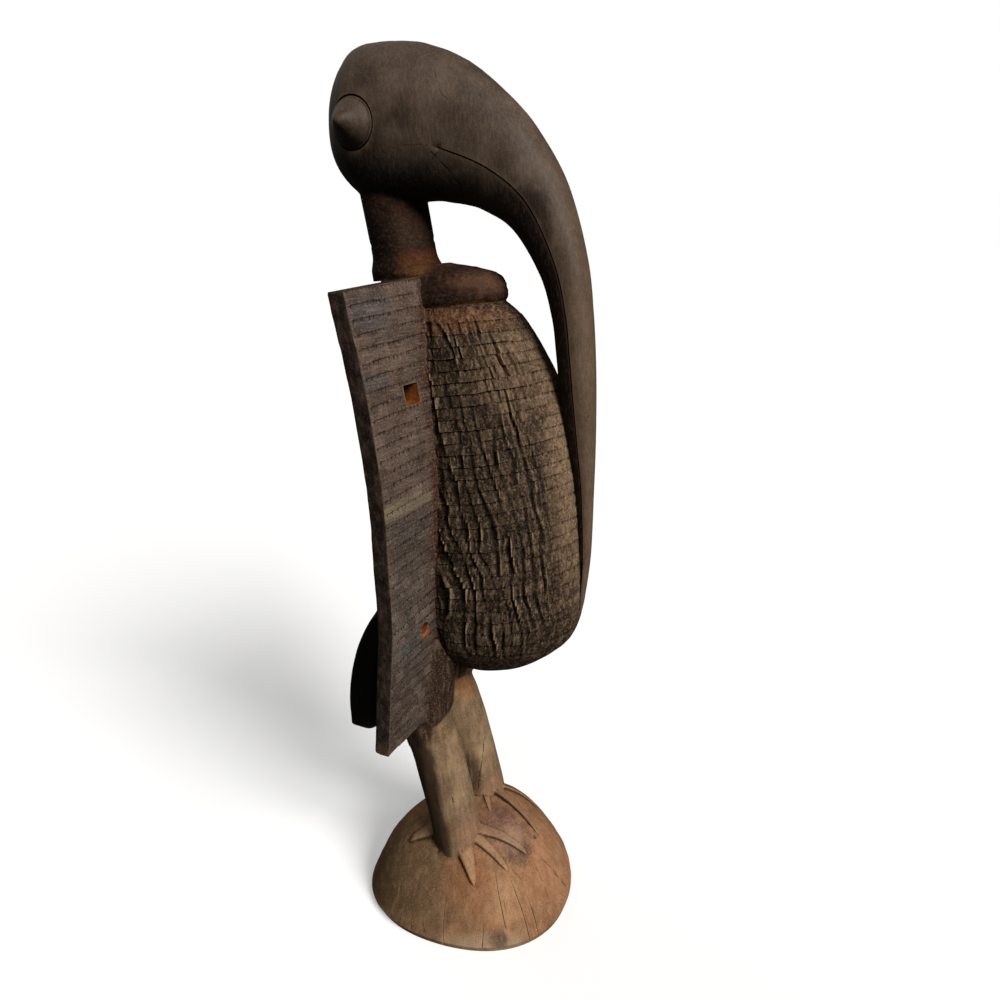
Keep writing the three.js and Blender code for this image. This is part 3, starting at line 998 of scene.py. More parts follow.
@dataclass
class Collar:
    """Rounded, lumpy ledge on the shoulders that slopes up to the neck.

    Attributes:
        crease: Height of the crease that sets off its rim, in thousandths.
    """

    crease: float = 771
    crease_width: float = 2.2
    crease_depth: float = 1.5 * MM
    sides: int = 120
    levels: int = 36
    lumps: Ripple = Ripple(2.2 * MM, 0.019, 70)
    grit: Ripple = Ripple(1.5 * MM, 0.008, 71)
    sag: Ripple = Ripple(1.0 * MM, 0.014, 72)

    def build(self) -> Solid:
        """Builds the collar.

        Returns:
            The closed solid.
        """
        low, high = COLLAR.rows[0][0], COLLAR.rows[-1][0]
        shape = np.linspace(0, 1, self.levels - 1)
        z_levels = low + (high - low) * shape**1.3
        z_levels = np.concatenate([[low], z_levels, [high]])

        def place(column: Values, step: Values) -> Laid:
            """Lays the collar from its foot to the neck.

            Args:
                column: Count of each corner around it.
                step: Count of each corner up it.

            Returns:
                The corners in space, with the crease marked.
            """
            angle = column * 2 * math.pi / self.sides
            z = z_levels[step]
            raw = body_points(COLLAR, z, angle, np.zeros_like(z))
            lumps = self.lumps.at(raw) + self.grit.at(raw)
            rim = bump(z, self.crease, self.crease_width)
            points = body_points(COLLAR, z, angle, self.crease_depth * rim - lumps)
            points[:, 2] += self.sag.at(raw)
            shut = (step == 0) | (step == self.levels)
            pole = np.stack([0 * z, 0 * z, z * SHARE], axis=1)
            return Laid(np.where(shut[:, None], pole, points), shade=0.7 * rim)

        return skin("collar", self.sides, self.levels, place, Zone.NECK)


@dataclass
class Neck:
    """Round neck with a cut ring, rougher and a little wider where it meets the collar.

    Attributes:
        diameter: Its thickness.
        ring_height: Height of the cut ring.
        ring_tilt: How much lower the ring is toward the right, as a share of the distance.
        flare_from: Height up to which it is full, and height where it ends.
        rough_below: How far below and above the ring the rough crust thins out.
    """

    diameter: float = 0.094
    low: float = 785
    high: float = 890
    low_forward: float = -6
    high_forward: float = -18
    ring_height: float = 1.158
    ring_width: float = 2.2 * MM
    ring_depth: float = 1.2 * MM
    ring_tilt: float = 0.05
    flare: float = 0.006
    flare_from: Pair = (1.118, 1.150)
    rough_below: Pair = (0.03, 0.01)
    sides: int = 72
    levels: int = 54
    grit: Ripple = Ripple(0.7 * MM, 0.009, 75)
    lumps: Ripple = Ripple(0.8 * MM, 0.02, 76)
    facets: Ripple = Ripple(0.6 * MM, (0.02, 0.02, 0.09), 77)

    def build(self) -> Solid:
        """Builds the neck from inside the collar up into the head.

        Returns:
            The closed solid.
        """

        def place(column: Values, step: Values) -> Laid:
            """Lays the neck from the collar to the head.

            Args:
                column: Count of each corner around it.
                step: Count of each corner up it.

            Returns:
                The corners in space, with the rough part below the ring marked.
            """
            angle = column * 2 * math.pi / self.sides
            t = np.clip(step - 1, 0, self.levels - 2) / (self.levels - 2)
            z = (self.low + (self.high - self.low) * t) * SHARE
            forward = (self.low_forward + (self.high_forward - self.low_forward) * t) * SHARE
            round_ = np.stack([np.sin(angle), -np.cos(angle), 0 * angle], axis=1)
            middle = np.stack([0 * z, -forward, z], axis=1)
            raw = middle + round_ * self.diameter / 2
            below, above = self.rough_below
            rough = 1 - fade(z, self.ring_height - below, self.ring_height + above)
            radius = self.diameter / 2 + self.flare * (1 - fade(z, *self.flare_from)) ** 2
            tilted = z - raw[:, 0] * self.ring_tilt
            radius -= self.ring_depth * bump(tilted, self.ring_height, self.ring_width)
            radius += rough * (self.grit.at(raw) + self.lumps.at(raw)) + self.facets.at(raw)
            radius = np.where((step == 0) | (step == self.levels), 0.0, radius)
            return Laid(middle + round_ * radius[:, None], shade=rough)

        return skin("neck", self.sides, self.levels, place, Zone.NECK)


@dataclass
class Head:
    """Head and beak in one sweep, with the mouth line cut along each side.

    Attributes:
        mouth_start: Station where the mouth line begins.
        mouth_sag: How far round the section it starts below the middle, in radians.
        lip: Half the width of the mouth line.
        step_in: How far the mandible stands back from the upper beak.
        power: How square its section is, 2 for round.
    """

    mouth_start: float = 6.7
    mouth_sag: float = 0.15
    mouth_depth: float = 3.4 * MM
    lip: float = 1.2 * MM
    step_in: float = 0.9 * MM
    power: float = 2.3
    quarter: int = 17
    rings: int = 168
    swell: Ripple = Ripple(0.8 * MM, 0.045, 81)
    facets: Ripple = Ripple(0.25 * MM, (0.009, 0.009, 0.05), 82)

    def line(self, t: Values, table: Values) -> Values:
        """Smooth curve through the stations.

        Args:
            t: Places along it, from 0 to 1.
            table: One row for each station.

        Returns:
            The table's columns at each place.
        """
        n = len(table) - 1
        padded = np.vstack([2 * table[0] - table[1], table, 2 * table[-1] - table[-2]])
        x = np.clip(t * n, 0, n - 1e-9)
        i = x.astype(int)
        w = (x - i)[:, None]
        before, here, there, after = (padded[i + k] for k in range(4))
        leave, arrive = (there - before) / 2, (after - here) / 2
        return (
            (2 * here - 2 * there + leave + arrive) * w**3
            + (3 * there - 3 * here - 2 * leave - arrive) * w**2
            + leave * w
            + here
        )

    def angles(self) -> tuple[Values, Values]:
        """Angles round the section, and which side of the mouth line each column is on.

        Returns:
            The angles, and -1, 0 or 1 for the lips and the line between them, else 2.
        """
        quarter = np.linspace(0, math.pi / 2, self.quarter + 1)[1:]
        half = np.concatenate([[0, 0], quarter, math.pi - quarter[:-1][::-1], [math.pi]])
        marks = np.concatenate([[0, 1], np.full(len(half) - 3, 2), [1]])
        angle = np.concatenate([half, math.pi + half, [2 * math.pi]])
        mark = np.concatenate([marks, np.where(marks == 1, -1, marks), [0]])
        return angle, mark

    def build(self) -> Solid:
        """Builds the head and beak.

        Returns:
            The closed solid.
        """
        angle_of, mark_of = self.angles()
        n = len(BEAK) - 1
        spread = np.linspace(0, 1, self.rings - 1)
        t_levels = np.concatenate([[0.0], spread, [1.0]])

        def place(column: Values, step: Values) -> Laid:
            """Lays the head from its back to the beak's tip.

            Args:
                column: Count of each corner around it.
                step: Count of each corner along the head.

            Returns:
                The corners in space, dark in the mouth line and redder on the mandible.
            """
            t = t_levels[step]
            row = self.line(t, BEAK)
            nudge = 1e-3
            ahead = self.line(np.clip(t + nudge, 0, 1), BEAK) - self.line(np.clip(t - nudge, 0, 1), BEAK)
            tangent = ahead[:, :2] / np.linalg.norm(ahead[:, :2], axis=1)[:, None]
            depth, half = row[:, 2] * SHARE, row[:, 3] * SHARE
            angle = angle_of[column]
            sag = self.mouth_sag * (1 - fade(t * n, self.mouth_start, self.mouth_start + 2.4))
            sag *= fade(t * n, 1.5, self.mouth_start - 1)
            angle = angle + sag * np.cos(angle) * np.abs(np.cos(angle))
            lateral = squared(np.cos(angle), self.power)
            inner = squared(np.sin(angle), self.power) * depth
            mark = mark_of[column]
            lip = np.where(mark < 2, mark, 0) * np.minimum(self.lip, depth * 0.2)
            inner = inner + lip
            mouth = fade(t * n, self.mouth_start, self.mouth_start + 0.5)
            groove = np.where(mark == 0, self.mouth_depth * mouth, 0.0)
            groove = np.minimum(groove, half * 0.35)
            below = np.where(mark < 2, mark == 1, np.sin(angle_of[column]) > 0)
            groove += np.where(below, self.step_in * mouth, 0.0)
            wide = lateral * half - np.sign(lateral) * groove
            forward = row[:, 0] * SHARE + tangent[:, 1] * inner
            height = row[:, 1] * SHARE - tangent[:, 0] * inner
            points = np.stack([wide, -forward, height], axis=1)
            shut = (step == 0) | (step == self.rings)
            middle = np.stack([0 * wide, -row[:, 0] * SHARE, row[:, 1] * SHARE], axis=1)
            soft = (self.swell.at(points) + self.facets.at(points)) * fade(half, 0.01, 0.05)
            points += (points - middle) / 0.06 * soft[:, None]
            red = below * fade(t * n, self.mouth_start + 0.2, self.mouth_start + 3.0)
            cut = np.where(mark == 0, -mouth, 0.0)
            return Laid(np.where(shut[:, None], middle, points), relief=cut, shade=red)

        return skin("head", len(angle_of) - 1, self.rings, place, Zone.HEAD)


@dataclass
class Eye:
    """Low pointed boss in a sunk ring on one side of the head.

    Attributes:
        diameter: Distance across the outside of the ring.
        oval: Height of its outline as a share of its length.
        foot: How far the boss goes into the head, as a share of its height.
        dome: Distance from the axis and height of the boss, as shares, from its rim to its point.
    """

    side: int
    diameter: float = 0.0715
    height: float = 0.034
    line_depth: float = 3.2 * MM
    line_width: float = 2.8 * MM
    oval: float = 0.95
    forward: float = -18.5
    z: float = 928
    half: float = 56.5
    sunk: float = 3
    steps: int = 64
    foot: float = 0.6
    dome: tuple[Pair, ...] = (
        (1, 0), (0.97, 0.06), (0.88, 0.16), (0.72, 0.33), (0.55, 0.53), (0.4, 0.71), (0.26, 0.86),
        (0.13, 0.96), (0.0, 1.0),
    )

    def spun(self, name: str, profile: Sequence[Pair]) -> Solid:
        """Spins a profile about the eye's axis.

        Args:
            name: Name of the object.
            profile: Distance from the axis and along it, in order.

        Returns:
            The closed solid, in its place on the head.
        """
        bm = bmesh.new()
        verts = [bm.verts.new((out, 0.0, along)) for out, along in profile]
        edges = [bm.edges.new(pair) for pair in zip(verts, verts[1:])]
        if profile[0][0] > 0:
            edges.append(bm.edges.new((verts[-1], verts[0])))
        bmesh.ops.spin(
            bm,
            geom=verts + edges,
            cent=(0, 0, 0),
            axis=(0, 0, 1),
            angle=2 * math.pi,
            steps=self.steps,
            use_merge=True,
        )
        bmesh.ops.remove_doubles(bm, verts=bm.verts, dist=WELD)
        bmesh.ops.recalc_face_normals(bm, faces=bm.faces)
        outward = Vector((self.side, 0, 0))
        spot = Vector((self.side * (self.half - self.sunk), -self.forward, self.z)) * SHARE
        matrix = outward.to_track_quat("Z", "Y").to_matrix().to_4x4()
        bmesh.ops.transform(bm, matrix=matrix, verts=bm.verts)
        bmesh.ops.scale(bm, vec=(1, 1, self.oval), verts=bm.verts)
        bmesh.ops.translate(bm, vec=spot, verts=bm.verts)
        for face in bm.faces:
            face.material_index = Zone.HEAD
        return finished(name, bm)

    def boss(self) -> Solid:
        """The boss, with a foot that goes into the head.

        Returns:
            The closed solid.
        """
        rim = self.diameter / 2 - self.line_width
        shares = ((0, -self.foot), (1, -self.foot), *self.dome)
        profile = [(rim * out, self.height * along) for out, along in shares]
        return self.spun(f"boss_{self.side}", profile)

    def ring(self) -> Solid:
        """Tool that cuts the ring around the boss.

        Returns:
            The closed solid.
        """
        outer = self.diameter / 2
        rim = outer - self.line_width
        profile = ((rim, -self.line_depth), (outer, -self.line_depth), (outer, outer), (rim, outer))
        return self.spun(f"ring_{self.side}", profile)


@dataclass
class Wing:
    """Bowed board that stands out from the trunk, scored in rows on its front.

    Attributes:
        root: Distance of its root from the middle, inside the trunk, in thousandths.
        rounding: How far its lower end is rounded.
        square_at: Height of the square hole and its distance from the middle, in thousandths.
        round_at: Height of the round hole and its distance from the middle, in thousandths.
        clear: Heights between which the rows fade from plain below to rubbed away above.
        rust: How the rusty strip along the trunk comes and goes.
        rust_edge: How far from the trunk the strip starts to fade and is gone.
    """

    side: int
    rows: Rows
    span: float = 0.410
    thickness: float = 0.028
    root: float = 22
    corner: float = 3.5 * MM
    rounding: float = 9 * MM
    square_hole: float = 0.028
    square_corner: float = 2.2 * MM
    round_hole: float = 0.019
    square_at: Pair = (680, 88)
    round_at: Pair = (427, 91)
    clear: Pair = (0.62, 0.75)
    strokes: Ripple = Ripple(0.45, 0.04, 90)
    wear: Ripple = Ripple(1.3 * MM, (0.5, 0.5, 0.02), 91)
    warp: Ripple = Ripple(0.8 * MM, (0.05, 0.3, 0.05), 92)
    sag: Ripple = Ripple(1.8 * MM, (0.03, 0.4, 0.4), 93)
    rust: Ripple = Ripple(0.9, (0.012, 0.05, 0.02), 94)
    rust_edge: Pair = (0.003, 0.017)

    def face_forward(self, z: Values, out: Values) -> Values:
        """Forward place of the front face.

        Args:
            z: Height of each point, in thousandths.
            out: Its distance from the middle, in thousandths.

        Returns:
            How far forward of the middle the face is there, in metres.
        """
        tip = self.span / 2 / SHARE
        t = (tip - out) / (tip - WING.read("inner", z))
        outer = WING.read("outer", z)
        return (outer + (WING.read("crease", z) - outer) * t) * SHARE

    def joint(self, z: Values) -> Values:
        """Where the front face meets the trunk.

        Args:
            z: Heights, in thousandths.

        Returns:
            The distance from the middle at each height, in thousandths.
        """
        widest = TORSO.read("widest", z)
        behind = (widest - WING.read("crease", z)) / (widest - TORSO.read("back", z))
        return TORSO.read("half", z) * (1 - np.clip(behind, 0, 1) ** BODY_POWER) ** (1 / BODY_POWER)

    def section(self) -> tuple[Values, Values]:
        """Outline of the board from the root along its front, round its edge and back.

        Returns:
            Distance from the tip and depth behind the front face, for each column.
        """
        reach = self.span / 2 - self.root * SHARE
        front = np.concatenate([[reach, reach - 0.016], np.linspace(reach - 0.028, self.corner, 41)])
        quarter = np.radians([22.5, 45, 67.5, 90])
        bend_in = self.corner * (1 - np.sin(quarter))
        bend_deep = self.corner * (1 - np.cos(quarter))
        edge = np.linspace(self.corner, self.thickness - self.corner, 4)[1:-1]
        back = np.linspace(self.corner, reach, 7)
        inward = np.concatenate([front, bend_in, 0 * edge, bend_in[::-1], back, [reach]])
        deep = np.concatenate(
            [
                0 * front,
                bend_deep,
                edge,
                self.thickness - bend_deep[::-1],
                np.full_like(back, self.thickness),
                [self.thickness / 2],
            ]
        )
        return np.append(inward, inward[0]), np.append(deep, deep[0])

    def build(self) -> Solid:
        """Builds the board with its rows, rubbed edges and cord holes.

        Returns:
            The closed solid.
        """
        heights, insets, rows = self.rows.levels(self.rows.start, self.rows.end)
        ease = np.array([self.thickness / 2, 0.45 * self.corner, 0.0])
        end_step = np.array([0, 0, 0.8])
        z_levels = [heights[0] + end_step, heights[1:-1], heights[-1] - end_step[::-1]]
        z_levels = np.concatenate(z_levels)
        shrink = np.concatenate([ease, 0 * heights[1:-1], ease[::-1]])
        share = np.concatenate([[0, 0, 0], insets[1:-1], [0, 0, 0]])
        row_of = np.concatenate([[0, 0, 0], rows[1:-1], [rows[-1]] * 3])
        inward_of, deep_of = self.section()
        last = len(z_levels) - 1
        tip = self.span / 2

        def place(column: Values, step: Values) -> Laid:
            """Lays the board from its lower end to its top.

            Args:
                column: Count of each corner around it.
                step: Count of each corner up it.

            Returns:
                The corners in space, with the rows and the rust along the trunk.
            """
            z = z_levels[step]
            inward, deep = inward_of[column], deep_of[column]
            inset = shrink[step]
            closed = (step == 0) | (step == last)
            inward = np.where(closed, 0.08, np.maximum(inward, inset))
            deep = np.clip(deep, np.minimum(inset, self.thickness / 2), self.thickness - inset)
            out = tip - inward
            raw = np.stack([self.side * out, deep, z * SHARE], axis=1)
            in_front = (deep < 0.5 * MM) & ~closed
            low = 1 - fade(z * SHARE, *self.clear)
            depth = np.clip(0.18 + 0.9 * low + self.strokes.at(raw), 0.04, 1.4)
            turn = np.mod(column, len(inward_of) - 1)
            score = self.rows.depth * share[step] * depth
            score += 0.8 * self.rows.ticks(share[step], row_of[step], turn)
            deep = deep + np.where(in_front, score, 0.0)
            wear = self.wear.at(raw) * fade(0.02 - inward, 0.0, 0.02)
            out = out - np.abs(wear) * ~closed
            deep += self.warp.at(raw) * ~closed
            y = -self.face_forward(z, out / SHARE) + deep
            climb = WING.read("climb", z) * (tip - out) / (tip - self.root * SHARE)
            lift = 0 * z
            for gap, bend in ((deep, 0.4 * self.rounding), (self.thickness - deep, self.rounding)):
                lift += bend * (1 - np.sqrt(1 - np.clip(1 - gap / bend, 0, 1) ** 2))
            lift *= np.clip(1 - (z - z_levels[0]) * SHARE / (2.5 * self.rounding), 0, 1)
            wobble = self.sag.at(raw) * (share[step] > 0)
            points = np.stack([self.side * out, y, (z + climb) * SHARE + wobble + lift], axis=1)
            near = 1 - fade(out - self.joint(z) * SHARE, *self.rust_edge)
            near *= np.clip(0.9 + self.rust.at(raw), 0, 1)
            worked = in_front * (0.65 + 0.75 * low)
            return Laid(points, row=row_of[step], along=out, worked=worked, shade=near)

        board = skin(f"wing_{self.side}", len(inward_of) - 1, last, place, Zone.WING)
        for face in board.data.polygons:
            if face.normal.y > -0.35:
                face.material_index = Zone.EDGE
        work_in(board, self.holes(), Join.CUT)
        return board

    def holes(self) -> list[Solid]:
        """Tools for the square and the round cord hole, bare wood where they cut.

        Returns:
            The two tools.
        """
        made = []
        for name, size, (z, out) in (
            ("square", self.square_hole, self.square_at),
            ("round", self.round_hole, self.round_at),
        ):
            bm = bmesh.new()
            if name == "square":
                bmesh.ops.create_cube(bm, size=size)
                deep = [e for e in bm.edges if abs((e.verts[0].co - e.verts[1].co).y) > MM]
                soft = {"segments": 2, "profile": 0.5, "affect": "EDGES", "material": -1}
                bmesh.ops.bevel(bm, geom=deep, offset=self.square_corner, **soft)
            else:
                shape = {"segments": 28, "radius1": size / 2, "radius2": size / 2, "depth": size}
                turned = Matrix.Rotation(math.pi / 2, 4, "X")
                bmesh.ops.create_cone(bm, cap_ends=True, matrix=turned, **shape)
            through = 3 * self.thickness / size
            forward = float(self.face_forward(np.array([z]), np.array([out]))[0])
            spot = Vector((self.side * out * SHARE, self.thickness / 2 - forward, z * SHARE))
            bmesh.ops.scale(bm, vec=(1, through, 1), verts=bm.verts)
            bmesh.ops.translate(bm, vec=spot, verts=bm.verts)
            bmesh.ops.recalc_face_normals(bm, faces=bm.faces)
            for face in bm.faces:
                face.material_index = Zone.RAW
            made.append(finished(f"{name}_hole_{self.side}", bm))
        return made


@dataclass
class Hornbill:
    """The whole carving, joined into the one solid that it is.

    """

    base: Base = field(default_factory=Base)
    rows: Rows = field(default_factory=Rows)
    wing_rows: Rows = Rows(profile=((0.0, 0.0), (0.1, 0.12), (0.6, 0.6), (0.84, 0.95), (0.94, 1.4)))
    toes: tuple[Toe, ...] = (
        Toe(side=-1, bearing=42, reach=0.083, width=0.044, rise=0.016, tip_share=0.2, slope_share=0.2),
        Toe(side=-1, bearing=8, reach=0.108, width=0.018, rise=0.010),
        Toe(side=-1, bearing=-13, reach=0.128, width=0.021, rise=0.009),
        Toe(side=-1, bearing=158, reach=0.090, width=0.034, rise=0.012, tip_share=0.2),
        Toe(side=1, bearing=21, reach=0.106, width=0.018, rise=0.010),
        Toe(side=1, bearing=-16, reach=0.138, width=0.022, rise=0.011),
        Toe(side=1, bearing=-52, reach=0.084, width=0.012, rise=0.004),
        Toe(side=1, bearing=158, reach=0.087, width=0.024, rise=0.008),
    )
    seam_smoothing: int = 5
    mend_rounds: int = 4

    def build(self) -> Solid:
        """Builds every form, joins them and softens where they meet.

        Returns:
            The figure.
        """
        figure = self.base.build()
        parts = [Leg(-1).build(), Leg(1).build()]
        parts += [toe.build(self.base, f"toe_{i}") for i, toe in enumerate(self.toes)]
        parts += [Tail().build(), Torso(self.rows).build(), Collar().build(), Neck().build()]
        parts += [Wing(side, self.wing_rows).build() for side in (-1, 1)] + [Head().build()]
        for part in parts:
            log.info("%s: %d faces", part.name, len(part.data.polygons))
        work_in(figure, parts, Join.ADD)
        work_in(figure, [Eye(-1).ring(), Eye(1).ring()], Join.CUT)
        work_in(figure, [Eye(-1).boss(), Eye(1).boss()], Join.ADD)
        figure.name = "hornbill"
        self.soften(figure)
        self.mark_hollows(figure)
        return figure

    def soften(self, figure: Solid) -> None:
        """Rounds the seams between forms a little, as a blade and long handling do.

        Args:
            figure: The joined carving.
        """
        bm = bmesh.new()
        bm.from_mesh(figure.data)
        bmesh.ops.triangulate(bm, faces=[f for f in bm.faces if len(f.verts) > 4])
        seams = [v for v in bm.verts if len({f.material_index for f in v.link_faces}) > 1]
        seams = [v for v in seams if Zone.RAW not in {f.material_index for f in v.link_faces}]
        axes = {f"use_axis_{axis}": True for axis in "xyz"}
        for _ in range(self.seam_smoothing):
            bmesh.ops.smooth_vert(bm, verts=seams, factor=0.5, **axes)
        self.drop_crumbs(bm)
        for _ in range(self.mend_rounds):
            pinched = [e for e in bm.edges if len(e.link_faces) != 2]
            if not pinched:
                break
            bmesh.ops.collapse(bm, edges=pinched)
            bmesh.ops.dissolve_degenerate(bm, dist=WELD / 10, edges=bm.edges)
        open_edges = sum(1 for e in bm.edges if len(e.link_faces) != 2)
        log.info("open edges: %d", open_edges)
        bm.to_mesh(figure.data)
        bm.free()

    def trim(self, figure: Solid, box: Values) -> None:
        """Planes off the little that the finer relief puts outside the solid's box.

        Args:
            figure: The joined carving.
            box: Lowest and highest corner of the solid, in metres.
        """
        points = np.empty(len(figure.data.vertices) * 3)
        figure.data.vertices.foreach_get("co", points)
        points = np.clip(points.reshape(-1, 3), box[0], box[1])
        figure.data.vertices.foreach_set("co", points.ravel())
        figure.data.update()

    def drop_crumbs(self, bm: bmesh.types.BMesh) -> None:
        """Removes the crumbs that two rough forms leave where they only just touch.

        Args:
            bm: The joined carving.
        """
        waiting = set(bm.verts)
        pieces = []
        while waiting:
            piece = [waiting.pop()]
            for vert in piece:
                for edge in vert.link_edges:
                    other = edge.other_vert(vert)
                    if other in waiting:
                        waiting.remove(other)
                        piece.append(other)
            pieces.append(piece)
        pieces.sort(key=len)
        crumbs = [vert for piece in pieces[:-1] for vert in piece]
        bmesh.ops.delete(bm, geom=crumbs, context="VERTS")

    def mark_hollows(self, figure: Solid) -> None:
        """Stores how hollow the surface is at each point, for patina in cuts and wear on ridges.

        Args:
            figure: The finished carving.
        """
        mesh = figure.data
        count = len(mesh.vertices)
        points, normals = np.empty((2, count * 3))
        mesh.vertices.foreach_get("co", points)
        mesh.vertices.foreach_get("normal", normals)
        points, normals = points.reshape(-1, 3), normals.reshape(-1, 3)
        ends = np.empty(len(mesh.edges) * 2, dtype=int)
        mesh.edges.foreach_get("vertices", ends)
        a, b = ends.reshape(-1, 2).T
        span = points[b] - points[a]
        length = np.maximum(np.linalg.norm(span, axis=1), 1e-6)
        rise_a = (normals[a] * span).sum(axis=1) / length
        rise_b = -(normals[b] * span).sum(axis=1) / length
        total = np.bincount(a, rise_a, count) + np.bincount(b, rise_b, count)
        touching = np.bincount(a, minlength=count) + np.bincount(b, minlength=count)
        hollow = total / np.maximum(touching, 1)
        around = np.bincount(a, hollow[b], count) + np.bincount(b, hollow[a], count)
        hollow = 0.6 * hollow + 0.4 * around / np.maximum(touching, 1)
        stored = mesh.attributes.new("hollow", "FLOAT", "POINT")
        stored.data.foreach_set("value", np.clip(hollow, -1, 1).astype(np.float32))


def linear(hex_colour: str) -> tuple[float, float, float, float]:
    """Turns an sRGB hex colour into linear values with full alpha.

    Args:
        hex_colour: The colour, such as #a0b0c0.

    Returns:
        Red, green, blue and alpha.
    """
    parts = [int(hex_colour[i : i + 2], 16) / 255 for i in (1, 3, 5)]
    r, g, b = (p / 12.92 if p <= 0.04045 else ((p + 0.055) / 1.055) ** 2.4 for p in parts)
    return (r, g, b, 1.0)


def add(tree: Tree, kind: str, links: dict | None = None, **settings) -> bpy.types.Node:
    """Adds a node.

    Args:
        tree: Where the node goes.
        kind: Blender's name for the kind of node, without its first word.
        links: A socket of another node, or a plain value, for each input by name or number.
        settings: The node's own settings.

    Returns:
        The node.
    """
    made = tree.nodes.new("ShaderNode" + kind)
    for name, value in settings.items():
        setattr(made, name, value)
    for key, value in (links or {}).items():
        if isinstance(value, Socket):
            tree.links.new(value, made.inputs[key])
        else:
            made.inputs[key].default_value = value
    return made


@dataclass(frozen=True)
class StainAndShadePatch:
    """A patch of another colour in one place on the carving; some are painted shade.

    Attributes:
        colour: Its colour.
        centre: Its middle, in millimetres.
        radii: How far it reaches along each axis, in millimetres.
        strength: How much of the colour shows in its middle.
        soft: How far its edge fades, as a share of its radii.
        ragged: How far its edge wanders, as a share of its radii.
        torn: Size of the wanderings, in millimetres.
    """

    colour: str
    centre: Triple
    radii: Triple
    strength: float = 0.8
    soft: float = 0.45
    ragged: float = 1.0
    torn: float = 18


@dataclass(frozen=True)
class Scratch:
    """A thin crack or scratch from one place on the carving to another.

    Attributes:
        start: Where it starts, in millimetres.
        end: Where it ends, in millimetres.
        width: Half its width, in millimetres.
        strength: How dark it is.
    """

    start: Triple
    end: Triple
    width: float = 1.3
    strength: float = 0.9


